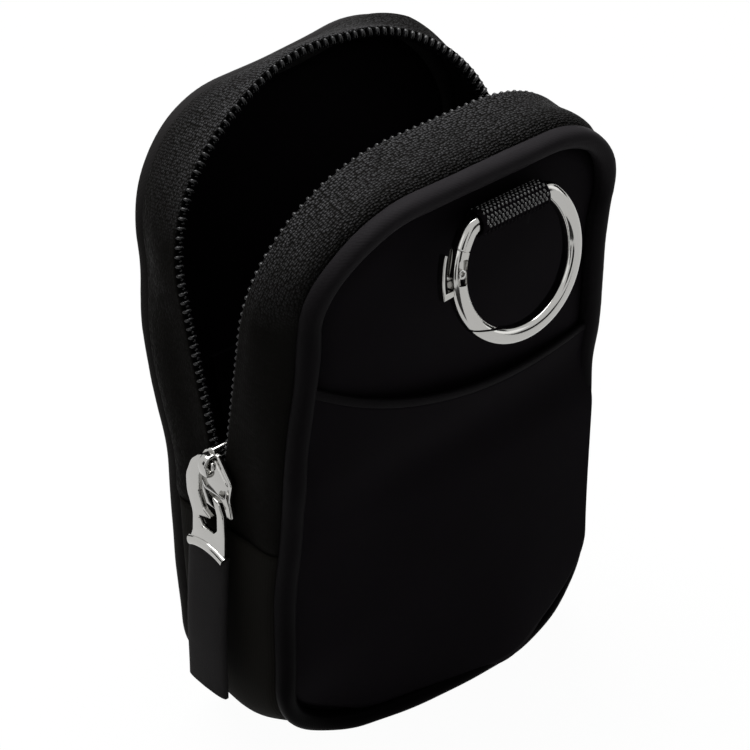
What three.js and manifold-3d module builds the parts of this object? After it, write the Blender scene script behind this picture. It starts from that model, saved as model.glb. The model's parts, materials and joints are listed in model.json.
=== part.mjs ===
// Key pouch: a small zip-around pouch standing on its gusset with its mouth open.
// Millimetres, +Z up, the front looks along -Y, the origin is the middle of the flat bottom.
import * as THREE from 'three';
import { mergeVertices } from 'three/addons/utils/BufferGeometryUtils.js';
import Module from 'manifold-3d';

const wasm = await Module();
wasm.setup();

// Outline of both faces and the depth of the closed pouch.
const PANEL_W = 88;
const PANEL_H = 146;
const TOP_CORNER_R = 33;
const LOW_CORNER_R = 24;
const DEPTH = 37;
const CORNER_STEPS = 10;

// The mouth: each half leans away from the zip's apex by the same angle.
const HINGE_Z = 72;
const HALF_LEAN = THREE.MathUtils.degToRad(12);
const LEAN_SPARE = THREE.MathUtils.degToRad(0.8);

// Clearances between pieces that touch on the real pouch.
const SEAM_GAP = 0.3;
const FOLD_GAP = 0.4;

// Points closer than this are one corner of a solid.
const WELD = 1e-4;

// Rolled rim round each face.
const RIM_W = 4.2;
const RIM_D = 4.2;
const RIM_INSET = 0.3;
const RIM_ROUND = 1.3;
const RIM_ROUND_MID = 0.52;

// Cloth layers.
const PANEL_T = 2.0;
const REAR_PANEL_RECESS = 1.0;
const POCKET_T = 0.9;
const POCKET_RECESS = 0.8;
const HEM_W = 2.6;
const HEM_PROUD = 0.3;
const TAPE_T = 0.9;
const GUSSET_T = 1.2;

// Mouth line of the front slip pocket: a parabola that rises towards the left.
const POCKET_LOW_X = 30;
const POCKET_LOW_Z = 85;
const POCKET_RISE = 20.5;
const POCKET_RISE_SPAN = 67;
const POCKET_STEPS = 12;

// Slip pocket on the inside of the rear face.
const INNER_POCKET_W = 62;
const INNER_POCKET_BOTTOM_Z = 50;
const INNER_POCKET_TOP_Z = 90;
const INNER_HEM_W = 5;
const INNER_HEM_T = 0.7;

// Zip: half tapes, coils, and the closed tail under the apex.
const TAPE_EDGE_Y = 1.2;
const COIL_EDGE_Y = 0.9;
const COIL_W = 2.4;
const COIL_T = 1.5;
const SEAM_Z = 60;
const TAIL_SLOT_Z = 63.5;
const STOP_W = 5;
const STOP_H = 2.6;

// Slider on the left side, with its puller and pull tab.
const SLIDER_Z = 64.4;
const SLIDER_L = 15;
const SLIDER_TOP_W = 11.6;
const SLIDER_END_W = 10.4;
const SHOULDER_DROP = 5.5;
const SLIDER_PLATE_T = 1.2;
const SLIDER_PLAY = 0.3;
const NECK_T = 1.0;
const NECK_L = 4;
const BRIDGE_W = 2.4;
const BRIDGE_T = 1.0;
const BRIDGE_L = 6;
const BRIDGE_END = 8.5;
const BRIDGE_SLOPE = 1.5;
const PULLER_T = 1.4;
const PULLER_PLAY = 0.4;
const PULLER_PIVOT = 11.9;
const PULLER_L = 20;
const PULLER_LOW_W = 12;
const PULLER_BAR_R = 1.25;
const PULLER_HANG = THREE.MathUtils.degToRad(4);
const TAB_W = 12.5;
const TAB_T = 1.8;
const TAB_L = 34.7;
const TAB_SEAT = 1.7;

// Hook outline of the puller about its pivot: [towards the rear, up].
const PULLER_OUTLINE = [
  [-6, -PULLER_L], [5.4, -PULLER_L], [4.3, -18], [4.2, -13], [6.1, -9.1], [6.4, -5.6], [5.1, -1.7],
  [2.4, PULLER_T / 2], [-1.9, PULLER_T / 2], [-1.9, -PULLER_T / 2], [1.6, -PULLER_T / 2], [2.4, -3.2],
  [2.4, -14], [0.8, -15.2], [-2.5, -15.3], [-3.8, -13.9], [-3.8, -10.2], [-2.8, -8], [-2.2, -6.4],
  [-4.5, -7.1], [-5.8, -9.6], [-6.1, -14.8],
];

// Key ring with a straight bar, on its webbing loop. Angles count from the ring's right side.
const RING_WIRE_R = 1.8;
const RING_R = 15.2;
const RING_BAR_UP = 11.2;
const RING_CORNER_R = 3;
const RING_OUT = THREE.MathUtils.degToRad(10);
const LOOP_W = 17.6;
const LOOP_T = 1.0;
const LOOP_PLAY = 0.4;
const LOOP_X = 5.5;
const LOOP_TOP_DROP = 7.4;
const LOOP_BASE_H = 6;
const RING_STEPS = 36;
const RING_CORNER_STEPS = 5;
const WIRE_SIDES = 10;
const LOOP_SIDES = 20;
const FIN_STEPS = 6;
const LATCH_DEG = 223;
const LATCH_AIM_DEG = 252;
const PIN_DEG = 168;
const FORK_DEG = 9;
const KNUCKLE_LAP_DEG = 1;
const LATCH_GAP = 0.5;
const LATCH_LAP_DEG = 18;
const LATCH_BLOCK_D = 7;
const LATCH_BLOCK_W = 13;
const PIN_R = 0.8;
const PIN_PROUD = 0.4;
const KNUCKLE_R = 1.9;
const CHEEK_IN = 1.15;
const CHEEK_T = 1.0;
const TONGUE_T = 1.7;
const TAB_FIN_T = 1.2;
const TAB_FIN_OUT = 2.6;
const TAB_FIN_TIP_DEG = 157;
const TAB_FIN_FROM_DEG = 178;
const TAB_FIN_TO_DEG = 190;

// Depths of the layers, counted from the middle plane of the pouch.
const FACE_Y = DEPTH / 2;
const RIM_IN_Y = FACE_Y - RIM_D;
const TAPE_ROOT_Y = RIM_IN_Y - SEAM_GAP;
const POCKET_OUT_Y = FACE_Y - POCKET_RECESS;
const POCKET_IN_Y = POCKET_OUT_Y - POCKET_T;
const FRONT_OUT_Y = POCKET_IN_Y - SEAM_GAP;
const FRONT_IN_Y = FRONT_OUT_Y - PANEL_T;
const REAR_OUT_Y = FACE_Y - REAR_PANEL_RECESS;
const REAR_IN_Y = REAR_OUT_Y - PANEL_T;
const INNER_OUT_Y = REAR_IN_Y - SEAM_GAP;
const INNER_IN_Y = INNER_OUT_Y - POCKET_T;
const PANEL_INSET = RIM_INSET + RIM_W + SEAM_GAP;
const SIDE_X = PANEL_W / 2;
const UPPER_Z = HINGE_Z + FOLD_GAP;

// Colours and finishes.
const CLOTH = { color: 0x0b0a0c, roughness: 0.85, metalness: 0 };
const RIM_CLOTH = { color: 0x141315, roughness: 0.8, metalness: 0 };
const WEAVE = { color: 0x1d1d1f, roughness: 0.75, metalness: 0 };
const TAB_CLOTH = { color: 0x1a191a, roughness: 0.7, metalness: 0 };
const COIL_PLASTIC = { color: 0x101012, roughness: 0.35, metalness: 0 };
const POLISHED = { color: 0xc8c8c6, roughness: 0.12, metalness: 1 };

const pouch = new THREE.Group();
const frontHalf = new THREE.Group();
const rearHalf = new THREE.Group();
const pullerHang = new THREE.Group();
const keyRing = new THREE.Group();

function addMesh(group, name, geometry, finish) {
  const mesh = new THREE.Mesh(geometry, new THREE.MeshStandardMaterial(finish));
  mesh.name = name;
  group.add(mesh);
  return mesh;
}

// Closed solid from corner points and triangles, turned so that its faces point out.
function closedSolid(points, triangles) {
  let volume = 0;
  for (const [a, b, c] of triangles) {
    volume += points[a].dot(new THREE.Vector3().crossVectors(points[b], points[c]));
  }
  const index = [];
  for (const [a, b, c] of triangles) {
    index.push(a, volume > 0 ? b : c, volume > 0 ? c : b);
  }
  const geometry = new THREE.BufferGeometry().setFromPoints(points);
  geometry.setIndex(index);
  return geometry;
}

// Solid swept through a row of equal closed sections, flat at both ends.
function loft(rows) {
  const count = rows[0].length;
  const points = rows.flat();
  const triangles = [];
  for (let r = 0; r + 1 < rows.length; r += 1) {
    for (let k = 0; k < count; k += 1) {
      const a = r * count + k;
      const b = r * count + ((k + 1) % count);
      triangles.push([a, b, b + count], [a, b + count, a + count]);
    }
  }
  const last = (rows.length - 1) * count;
  for (let k = 1; k + 1 < count; k += 1) {
    triangles.push([0, k + 1, k], [last, last + k, last + k + 1]);
  }
  return closedSolid(points, triangles);
}

// Flat plate with an outline in X and Z, between two depths.
function plateXZ(outline, yFrom, yTo, holes = []) {
  const shape = new THREE.Shape(outline.map(([x, z]) => new THREE.Vector2(x, z)));
  for (const hole of holes) {
    shape.holes.push(new THREE.Path(hole.map(([x, z]) => new THREE.Vector2(x, z))));
  }
  const geometry = new THREE.ExtrudeGeometry(shape, { depth: yTo - yFrom, bevelEnabled: false });
  geometry.rotateX(Math.PI / 2);
  geometry.translate(0, yTo, 0);
  return geometry;
}

// Flat plate with an outline in Y and Z, between two places across the width.
function plateYZ(outline, xFrom, xTo, holes = []) {
  const shape = new THREE.Shape(outline.map(([y, z]) => new THREE.Vector2(y, z)));
  for (const hole of holes) {
    shape.holes.push(new THREE.Path(hole.map(([y, z]) => new THREE.Vector2(y, z))));
  }
  const geometry = new THREE.ExtrudeGeometry(shape, { depth: xTo - xFrom, bevelEnabled: false });
  geometry.rotateX(Math.PI / 2);
  geometry.rotateZ(Math.PI / 2);
  geometry.translate(xFrom, 0, 0);
  return geometry;
}

function toSolid(geometry) {
  const bare = geometry.clone();
  bare.deleteAttribute('normal');
  bare.deleteAttribute('uv');
  const merged = mergeVertices(bare, WELD);
  const vertProperties = new Float32Array(merged.attributes.position.array);
  const triVerts = new Uint32Array(merged.index.array);
  return new wasm.Manifold(new wasm.Mesh({ numProp: 3, vertProperties, triVerts }));
}

function fromSolid(solid) {
  const mesh = solid.getMesh();
  const geometry = new THREE.BufferGeometry();
  geometry.setAttribute('position', new THREE.BufferAttribute(new Float32Array(mesh.vertProperties), 3));
  geometry.setIndex(new THREE.BufferAttribute(new Uint32Array(mesh.triVerts), 1));
  return geometry;
}

function joined(first, ...others) {
  return fromSolid(others.reduce((solid, other) => solid.add(toSolid(other)), toSolid(first)));
}

function cut(first, ...tools) {
  return fromSolid(tools.reduce((solid, tool) => solid.subtract(toSolid(tool)), toSolid(first)));
}

// Stations along the outline of a face, with their outward normals, from the left side
// over the top (over = 1) or under the bottom (over = -1) to the right side.
function outlineRun(endZ, over) {
  const radius = over > 0 ? TOP_CORNER_R : LOW_CORNER_R;
  const straight = PANEL_W / 2 - radius;
  const middleZ = over > 0 ? PANEL_H - radius : radius;
  const stations = [{ x: -SIDE_X, z: endZ, nx: -1, nz: 0 }];
  for (const side of [-1, 1]) {
    for (let k = 0; k <= CORNER_STEPS; k += 1) {
      const turn = (Math.PI / 2) * (side < 0 ? k / CORNER_STEPS : 1 - k / CORNER_STEPS);
      const nx = side * Math.cos(turn);
      const nz = over * Math.sin(turn);
      stations.push({ x: side * straight + radius * nx, z: middleZ + radius * nz, nx, nz });
    }
  }
  stations.push({ x: SIDE_X, z: endZ, nx: 1, nz: 0 });
  return stations;
}

// Strip that follows the outline: its section is given as outward offset and depth.
function strip(stations, section) {
  const place = (s, [n, y]) => new THREE.Vector3(s.x + n * s.nx, y, s.z + n * s.nz);
  return loft(stations.map((s) => section.map((corner) => place(s, corner))));
}

function insetOutline(stations, inset) {
  return stations.map((s) => [s.x - inset * s.nx, s.z - inset * s.nz]);
}

function rectSection(nFrom, nTo, yFrom, yTo) {
  return [[nFrom, yFrom], [nTo, yFrom], [nTo, yTo], [nFrom, yTo]];
}

// Rolled rim section on the face that looks along side (-1 front, 1 rear).
function rimSection(side) {
  const outN = -RIM_INSET;
  const inN = outN - RIM_W;
  const c = RIM_ROUND;
  const half = RIM_ROUND_MID;
  return [
    [outN, side * RIM_IN_Y], [outN, side * (FACE_Y - c)], [outN - half, side * (FACE_Y - half)],
    [outN - c, side * FACE_Y], [inN + c, side * FACE_Y], [inN + half, side * (FACE_Y - half)],
    [inN, side * (FACE_Y - c)], [inN, side * RIM_IN_Y],
  ];
}

// Height where a lower piece ends so that the half above can lean out over it.
function foldCutZ(depth) {
  return HINGE_Z - depth * Math.tan(HALF_LEAN + LEAN_SPARE);
}

function pocketMouthZ(x) {
  return POCKET_LOW_Z + POCKET_RISE * ((POCKET_LOW_X - x) / POCKET_RISE_SPAN) ** 2;
}

// Faces, rims and tapes of the two halves.
const overRun = outlineRun(UPPER_Z, 1);
for (const [side, group, label] of [[-1, frontHalf, 'front'], [1, rearHalf, 'rear']]) {
  const outY = side < 0 ? FRONT_OUT_Y : REAR_OUT_Y;
  const inY = side < 0 ? FRONT_IN_Y : REAR_IN_Y;
  const near = Math.min(side * outY, side * inY);
  const far = Math.max(side * outY, side * inY);
  const rimCut = foldCutZ(FACE_Y);
  const panelCut = foldCutZ(outY);
  const upperPanel = plateXZ(insetOutline(overRun, PANEL_INSET), near, far);
  const lowerPanel = plateXZ(insetOutline(outlineRun(panelCut, -1), PANEL_INSET), near, far);
  const coilIn = -TAPE_T - SEAM_GAP - COIL_T;
  const coilOut = -TAPE_T - SEAM_GAP;
  addMesh(group, `${label}_panel_upper`, upperPanel, CLOTH);
  addMesh(pouch, `${label}_panel_lower`, lowerPanel, CLOTH);
  addMesh(group, `${label}_rim_upper`, strip(overRun, rimSection(side)), RIM_CLOTH);
  addMesh(pouch, `${label}_rim_lower`, strip(outlineRun(rimCut, -1), rimSection(side)), RIM_CLOTH);
  const tapeSection = rectSection(-TAPE_T, 0, side * TAPE_EDGE_Y, side * TAPE_ROOT_Y);
  const coilSection = rectSection(coilIn, coilOut, side * COIL_EDGE_Y, side * (COIL_EDGE_Y + COIL_W));
  addMesh(group, `${label}_zip_tape`, strip(overRun, tapeSection), WEAVE);
  addMesh(group, `${label}_zip_coil`, strip(overRun, coilSection), COIL_PLASTIC);
}

// Cloth gusset under the zip, with the flat bottom that the pouch stands on.
const gussetSection = rectSection(-GUSSET_T, 0, -TAPE_ROOT_Y, TAPE_ROOT_Y);
addMesh(pouch, 'lower_gusset', strip(outlineRun(SEAM_Z, -1), gussetSection), CLOTH);

// Closed ends of the zip on both sides, each with its stop.
const tailRoofZ = foldCutZ(TAPE_ROOT_Y);
const tailPeakZ = foldCutZ(TAPE_EDGE_Y);
const tailOutline = [
  [-TAPE_ROOT_Y, SEAM_Z + SEAM_GAP], [TAPE_ROOT_Y, SEAM_Z + SEAM_GAP], [TAPE_ROOT_Y, tailRoofZ],
  [TAPE_EDGE_Y, tailPeakZ], [TAPE_EDGE_Y, TAIL_SLOT_Z], [-TAPE_EDGE_Y, TAIL_SLOT_Z],
  [-TAPE_EDGE_Y, tailPeakZ], [-TAPE_ROOT_Y, tailRoofZ],
];
const stopOutline = [
  [-STOP_W / 2, TAIL_SLOT_Z - SEAM_GAP - STOP_H], [STOP_W / 2, TAIL_SLOT_Z - SEAM_GAP - STOP_H],
  [STOP_W / 2, TAIL_SLOT_Z - SEAM_GAP], [-STOP_W / 2, TAIL_SLOT_Z - SEAM_GAP],
];
for (const [side, label] of [[-1, 'left'], [1, 'right']]) {
  const tailNear = Math.min(side * SIDE_X, side * (SIDE_X - TAPE_T));
  const stopFar = SIDE_X - TAPE_T - SEAM_GAP;
  const stopNear = Math.min(side * stopFar, side * (stopFar - COIL_T));
  addMesh(pouch, `${label}_zip_tail`, plateYZ(tailOutline, tailNear, tailNear + TAPE_T), WEAVE);
  addMesh(pouch, `${label}_zip_stop`, plateYZ(stopOutline, stopNear, stopNear + COIL_T), POLISHED);
}

// Front slip pocket: its cloth below and above the fold, and the hem along its mouth.
const pocketHalfW = PANEL_W / 2 - PANEL_INSET;
function mouthLine(drop) {
  const line = [];
  for (let k = 0; k <= POCKET_STEPS; k += 1) {
    const x = pocketHalfW * (1 - (2 * k) / POCKET_STEPS);
    line.push([x, pocketMouthZ(x) - drop]);
  }
  return line;
}
const pocketUpper = [[-pocketHalfW, UPPER_Z], [pocketHalfW, UPPER_Z], ...mouthLine(HEM_W + SEAM_GAP)];
const pocketHem = [...mouthLine(HEM_W).reverse(), ...mouthLine(0)];
const pocketLower = insetOutline(outlineRun(foldCutZ(POCKET_OUT_Y), -1), PANEL_INSET);
addMesh(frontHalf, 'pocket_panel_upper', plateXZ(pocketUpper, -POCKET_OUT_Y, -POCKET_IN_Y), CLOTH);
addMesh(frontHalf, 'pocket_hem', plateXZ(pocketHem, -POCKET_OUT_Y - HEM_PROUD, -POCKET_IN_Y), RIM_CLOTH);
addMesh(pouch, 'pocket_panel_lower', plateXZ(pocketLower, -POCKET_OUT_Y, -POCKET_IN_Y), CLOTH);

// Slip pocket on the inside of the rear face.
function innerPlate(zFrom, zTo, yFrom, yTo) {
  const half = INNER_POCKET_W / 2;
  return plateXZ([[-half, zFrom], [half, zFrom], [half, zTo], [-half, zTo]], yFrom, yTo);
}
const innerLowTop = foldCutZ(INNER_OUT_Y);
const hemNear = INNER_IN_Y - SEAM_GAP - INNER_HEM_T;
const hemLow = INNER_POCKET_TOP_Z - INNER_HEM_W;
const innerLower = innerPlate(INNER_POCKET_BOTTOM_Z, innerLowTop, INNER_IN_Y, INNER_OUT_Y);
const innerUpper = innerPlate(UPPER_Z, INNER_POCKET_TOP_Z, INNER_IN_Y, INNER_OUT_Y);
const innerHem = innerPlate(hemLow, INNER_POCKET_TOP_Z, hemNear, hemNear + INNER_HEM_T);
addMesh(pouch, 'inner_pocket_lower', innerLower, CLOTH);
addMesh(rearHalf, 'inner_pocket_upper', innerUpper, CLOTH);
addMesh(rearHalf, 'inner_pocket_hem', innerHem, RIM_CLOTH);

// Slider: two plates joined by the neck, and the bridge that holds the puller.
const sliderTopZ = SLIDER_Z + SLIDER_L;
const outerPlateX = -SIDE_X - SLIDER_PLAY;
const innerPlateX = -SIDE_X + TAPE_T + SEAM_GAP + COIL_T + SLIDER_PLAY;
const sliderOutline = [
  [-SLIDER_END_W / 2, SLIDER_Z], [SLIDER_END_W / 2, SLIDER_Z],
  [SLIDER_TOP_W / 2, sliderTopZ - SHOULDER_DROP], [SLIDER_TOP_W / 4, sliderTopZ],
  [-SLIDER_TOP_W / 4, sliderTopZ], [-SLIDER_TOP_W / 2, sliderTopZ - SHOULDER_DROP],
];
const outerPlate = plateYZ(sliderOutline, outerPlateX - SLIDER_PLATE_T, outerPlateX);
const innerPlateSolid = plateYZ(sliderOutline, innerPlateX, innerPlateX + SLIDER_PLATE_T);
const neckOutline = [
  [-NECK_T / 2, sliderTopZ - NECK_L], [NECK_T / 2, sliderTopZ - NECK_L],
  [NECK_T / 2, sliderTopZ - SLIDER_PLAY], [-NECK_T / 2, sliderTopZ - SLIDER_PLAY],
];
const neckFrom = outerPlateX - SLIDER_PLATE_T / 2;
const neck = plateYZ(neckOutline, neckFrom, innerPlateX + SLIDER_PLATE_T / 2);
const bridgeFootX = outerPlateX - SLIDER_PLATE_T;
const bridgeRise = PULLER_T + 2 * PULLER_PLAY + BRIDGE_T;
const bridgeLowZ = SLIDER_Z + BRIDGE_END;
const bridgeTopZ = bridgeLowZ + BRIDGE_L;
const bridgeOutline = [
  [bridgeFootX + SLIDER_PLATE_T / 2, bridgeLowZ], [bridgeFootX - bridgeRise + BRIDGE_T, bridgeLowZ],
  [bridgeFootX - bridgeRise, bridgeLowZ + BRIDGE_T], [bridgeFootX - bridgeRise, bridgeTopZ - BRIDGE_SLOPE],
  [bridgeFootX - bridgeRise + BRIDGE_T, bridgeTopZ], [bridgeFootX + SLIDER_PLATE_T / 2, bridgeTopZ],
  [bridgeFootX + SLIDER_PLATE_T / 2, bridgeTopZ - BRIDGE_SLOPE],
  [bridgeFootX - bridgeRise + BRIDGE_T, bridgeTopZ - BRIDGE_SLOPE],
  [bridgeFootX - bridgeRise + BRIDGE_T, bridgeLowZ + BRIDGE_T],
  [bridgeFootX + SLIDER_PLATE_T / 2, bridgeLowZ + BRIDGE_T],
];
const bridge = plateXZ(bridgeOutline, -BRIDGE_W / 2, BRIDGE_W / 2);
addMesh(pouch, 'slider_body', joined(outerPlate, innerPlateSolid, neck, bridge), POLISHED);

// Puller: a hook round the bridge, with a bar for the tab. It hangs a little off the side.
const pullerX = bridgeFootX - PULLER_PLAY - PULLER_T / 2;
pullerHang.position.set(pullerX, 0, SLIDER_Z + PULLER_PIVOT);
pullerHang.rotation.y = PULLER_HANG;
pouch.add(pullerHang);
const pullerPlate = plateYZ(PULLER_OUTLINE, -PULLER_T / 2, PULLER_T / 2);
const pullerBar = new THREE.CylinderGeometry(PULLER_BAR_R, PULLER_BAR_R, PULLER_LOW_W, WIRE_SIDES);
pullerBar.translate(0, 0, -PULLER_L);
addMesh(pullerHang, 'slider_puller', joined(pullerPlate, pullerBar), POLISHED);

// Pull tab: a flat ribbon under the puller's lower bar.
const tabTopZ = -PULLER_L - TAB_SEAT;
const tabOutline = [
  [-TAB_W / 2, tabTopZ - TAB_L], [TAB_W / 2, tabTopZ - TAB_L], [TAB_W / 2, tabTopZ], [-TAB_W / 2, tabTopZ],
];
addMesh(pullerHang, 'pull_tab', plateYZ(tabOutline, -TAB_T / 2, TAB_T / 2), TAB_CLOTH);

// Webbing loop: a sleeve round the ring's straight bar.
const loopInR = RING_WIRE_R + LOOP_PLAY;
const loopOutR = loopInR + LOOP_T;
const loopY = -FRONT_OUT_Y - SEAM_GAP - loopOutR;
const loopZ = PANEL_H - LOOP_TOP_DROP - loopOutR;
function circleYZ(radius, steps) {
  const points = [];
  for (let k = 0; k < steps; k += 1) {
    const turn = (2 * Math.PI * k) / steps;
    points.push([loopY + radius * Math.cos(turn), loopZ + radius * Math.sin(turn)]);
  }
  return points;
}
const sleeve = plateYZ(
  circleYZ(loopOutR, LOOP_SIDES),
  LOOP_X - LOOP_W / 2,
  LOOP_X + LOOP_W / 2,
  [circleYZ(loopInR, LOOP_SIDES).reverse()],
);
addMesh(frontHalf, 'ring_loop', sleeve, WEAVE);

// Sewn foot of the loop, flat on the front face under the sleeve.
const footTop = loopZ - loopOutR - SEAM_GAP;
const footOutline = [
  [LOOP_X - LOOP_W / 2, footTop - LOOP_BASE_H], [LOOP_X + LOOP_W / 2, footTop - LOOP_BASE_H],
  [LOOP_X + LOOP_W / 2, footTop], [LOOP_X - LOOP_W / 2, footTop],
];
const footIn = -FRONT_OUT_Y - SEAM_GAP;
addMesh(frontHalf, 'loop_foot', plateXZ(footOutline, footIn - 2 * LOOP_T, footIn), WEAVE);

// Key ring: built round the axis of its straight bar, which it swings about in the loop.
function ringPoint(degrees, radius, middleX = 0, middleZ = 0) {
  const turn = THREE.MathUtils.degToRad(degrees);
  return [middleX + radius * Math.cos(turn), middleZ - RING_BAR_UP + radius * Math.sin(turn)];
}

// Sections of the wire along an arc about the ring's middle or about a corner of its bar.
function arcRows(fromDeg, toDeg, steps, arcR = RING_R, middleX = 0, middleZ = 0) {
  const rows = [];
  for (let k = 0; k <= steps; k += 1) {
    const degrees = fromDeg + ((toDeg - fromDeg) * k) / steps;
    const row = [];
    for (let s = 0; s < WIRE_SIDES; s += 1) {
      const turn = (2 * Math.PI * s) / WIRE_SIDES;
      const [x, z] = ringPoint(degrees, arcR + RING_WIRE_R * Math.cos(turn), middleX, middleZ);
      row.push(new THREE.Vector3(x, RING_WIRE_R * Math.sin(turn), z));
    }
    rows.push(row);
  }
  return rows;
}

// Knuckle plate: a bar with round ends between two places on the ring.
function knuckle(fromDeg, toDeg, yFrom, yTo) {
  const [ax, az] = ringPoint(fromDeg, RING_R);
  const [bx, bz] = ringPoint(toDeg, RING_R);
  const along = Math.atan2(bz - az, bx - ax);
  const outline = [];
  for (const [x, z, start] of [[bx, bz, along - Math.PI / 2], [ax, az, along + Math.PI / 2]]) {
    for (let k = 0; k <= WIRE_SIDES; k += 1) {
      const turn = start + (Math.PI * k) / WIRE_SIDES;
      outline.push([x + KNUCKLE_R * Math.cos(turn), z + KNUCKLE_R * Math.sin(turn)]);
    }
  }
  return plateXZ(outline, yFrom, yTo);
}

function pinRod(radius, length) {
  const [x, z] = ringPoint(PIN_DEG, RING_R);
  const rod = new THREE.CylinderGeometry(radius, radius, length, WIRE_SIDES * 2);
  rod.translate(x, 0, z);
  return rod;
}

// Block that trims the latch joint to a slope, which the gate leaves freely as it swings in.
function latchBlock(side) {
  const [latchX, latchZ] = ringPoint(LATCH_DEG, RING_R);
  const block = new THREE.BoxGeometry(LATCH_BLOCK_D, LATCH_BLOCK_W, LATCH_BLOCK_W);
  block.translate((side * (LATCH_BLOCK_D - LATCH_GAP)) / 2, 0, 0);
  block.rotateY(-THREE.MathUtils.degToRad(LATCH_AIM_DEG));
  block.translate(latchX, 0, latchZ);
  return block;
}

const cheekOut = CHEEK_IN + CHEEK_T;
const pinBore = pinRod(PIN_R + SEAM_GAP, 2 * (cheekOut + CHEEK_T));
const ringStartDeg = PIN_DEG - 2 * FORK_DEG;
const ringEndDeg = LATCH_DEG - LATCH_LAP_DEG - 360;
const cornerZ = RING_BAR_UP - RING_CORNER_R;
const cornerX = Math.sqrt((RING_R - RING_CORNER_R) ** 2 - cornerZ ** 2);
const cornerDeg = THREE.MathUtils.radToDeg(Math.atan2(cornerZ, cornerX));
const hingeSteps = Math.round(RING_STEPS / 8);
const bodyRows = [
  ...arcRows(ringEndDeg, cornerDeg, RING_STEPS).slice(0, -1),
  ...arcRows(cornerDeg, 90, RING_CORNER_STEPS, RING_CORNER_R, cornerX, cornerZ),
  ...arcRows(90, 180 - cornerDeg, RING_CORNER_STEPS, RING_CORNER_R, -cornerX, cornerZ),
  ...arcRows(180 - cornerDeg, ringStartDeg, hingeSteps).slice(1),
];
const ringBody = joined(
  loft(bodyRows),
  knuckle(ringStartDeg - KNUCKLE_LAP_DEG, PIN_DEG, -TONGUE_T / 2, TONGUE_T / 2),
);
const gateStartDeg = PIN_DEG + FORK_DEG;
const gateEndDeg = LATCH_DEG + LATCH_LAP_DEG;
const gateSteps = Math.round(RING_STEPS / 4);
const finOutline = [];
for (const [radius, from, to] of [
  [RING_R, TAB_FIN_FROM_DEG, TAB_FIN_TO_DEG],
  [RING_R + RING_WIRE_R + TAB_FIN_OUT, TAB_FIN_TO_DEG, TAB_FIN_TIP_DEG],
  [RING_R + RING_WIRE_R + SEAM_GAP, TAB_FIN_TIP_DEG, TAB_FIN_FROM_DEG],
]) {
  for (let k = 0; k <= FIN_STEPS; k += 1) {
    finOutline.push(ringPoint(from + ((to - from) * k) / FIN_STEPS, radius));
  }
}
const ringGate = joined(
  loft(arcRows(gateStartDeg, gateEndDeg, gateSteps)),
  knuckle(PIN_DEG - FORK_DEG, gateStartDeg + KNUCKLE_LAP_DEG, -cheekOut, -CHEEK_IN),
  knuckle(PIN_DEG - FORK_DEG, gateStartDeg + KNUCKLE_LAP_DEG, CHEEK_IN, cheekOut),
  plateXZ(finOutline, -TAB_FIN_T / 2, TAB_FIN_T / 2),
);
addMesh(keyRing, 'ring_body', cut(ringBody, pinBore, latchBlock(-1)), POLISHED);
addMesh(keyRing, 'ring_gate', cut(ringGate, pinBore, latchBlock(1)), POLISHED);
addMesh(keyRing, 'gate_pin', pinRod(PIN_R, 2 * (cheekOut + PIN_PROUD)), POLISHED);

// Place the halves: each turns about the zip's apex, and the stiff loop holds the ring off the face.
function leanOut(group, angle) {
  const inner = new THREE.Group();
  inner.position.z = -HINGE_Z;
  inner.add(...group.children);
  group.add(inner);
  group.position.z = HINGE_Z;
  group.rotation.x = angle;
  pouch.add(group);
  return inner;
}
const frontInner = leanOut(frontHalf, HALF_LEAN);
leanOut(rearHalf, -HALF_LEAN);
keyRing.position.set(LOOP_X, loopY, loopZ);
keyRing.rotation.x = -HALF_LEAN - RING_OUT;
frontInner.add(keyRing);

export default pouch;
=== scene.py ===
# %% [markdown]
# A small zip-around key pouch stands on its gusset with its mouth open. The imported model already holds
# every body, joint and size. This lesson dresses that model: cloth, zip, webbing and polished metal are
# made piece by piece, in metres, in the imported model's own frame.

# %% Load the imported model
import json
import math

import bmesh
import bpy
import numpy as np
from mathutils import Matrix, Vector, noise


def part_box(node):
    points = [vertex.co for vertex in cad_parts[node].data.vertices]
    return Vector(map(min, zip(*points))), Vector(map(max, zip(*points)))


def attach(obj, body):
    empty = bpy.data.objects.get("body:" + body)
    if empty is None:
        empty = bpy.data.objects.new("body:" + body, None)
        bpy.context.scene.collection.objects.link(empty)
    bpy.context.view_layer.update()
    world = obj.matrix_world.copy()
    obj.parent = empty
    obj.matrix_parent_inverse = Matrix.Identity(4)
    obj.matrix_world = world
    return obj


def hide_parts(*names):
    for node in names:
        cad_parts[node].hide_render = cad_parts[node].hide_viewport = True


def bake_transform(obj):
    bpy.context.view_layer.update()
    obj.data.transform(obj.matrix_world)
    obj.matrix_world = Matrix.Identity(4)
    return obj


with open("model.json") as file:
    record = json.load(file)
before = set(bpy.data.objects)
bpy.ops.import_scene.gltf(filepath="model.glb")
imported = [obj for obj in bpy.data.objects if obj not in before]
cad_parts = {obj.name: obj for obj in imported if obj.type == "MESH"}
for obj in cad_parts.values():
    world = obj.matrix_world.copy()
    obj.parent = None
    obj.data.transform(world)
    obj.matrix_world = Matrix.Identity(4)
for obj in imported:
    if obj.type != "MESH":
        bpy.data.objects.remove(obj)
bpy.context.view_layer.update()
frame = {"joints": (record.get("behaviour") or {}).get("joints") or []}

# %% [markdown]
# The real pouch is sewn closed and then opened: each half turns about the zip's apex. So every cloth
# piece is drawn on the closed pouch, where it is straight, and then leaned out. The lean comes on over a
# short height, because cloth bends in a curve and has no sharp hinge line. Soft cloth doesn't stand quite
# true either: the front face sits a little back at its lower left and its upper left, and comes forward
# beside the slider at half height and at the middle of its foot.

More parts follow.
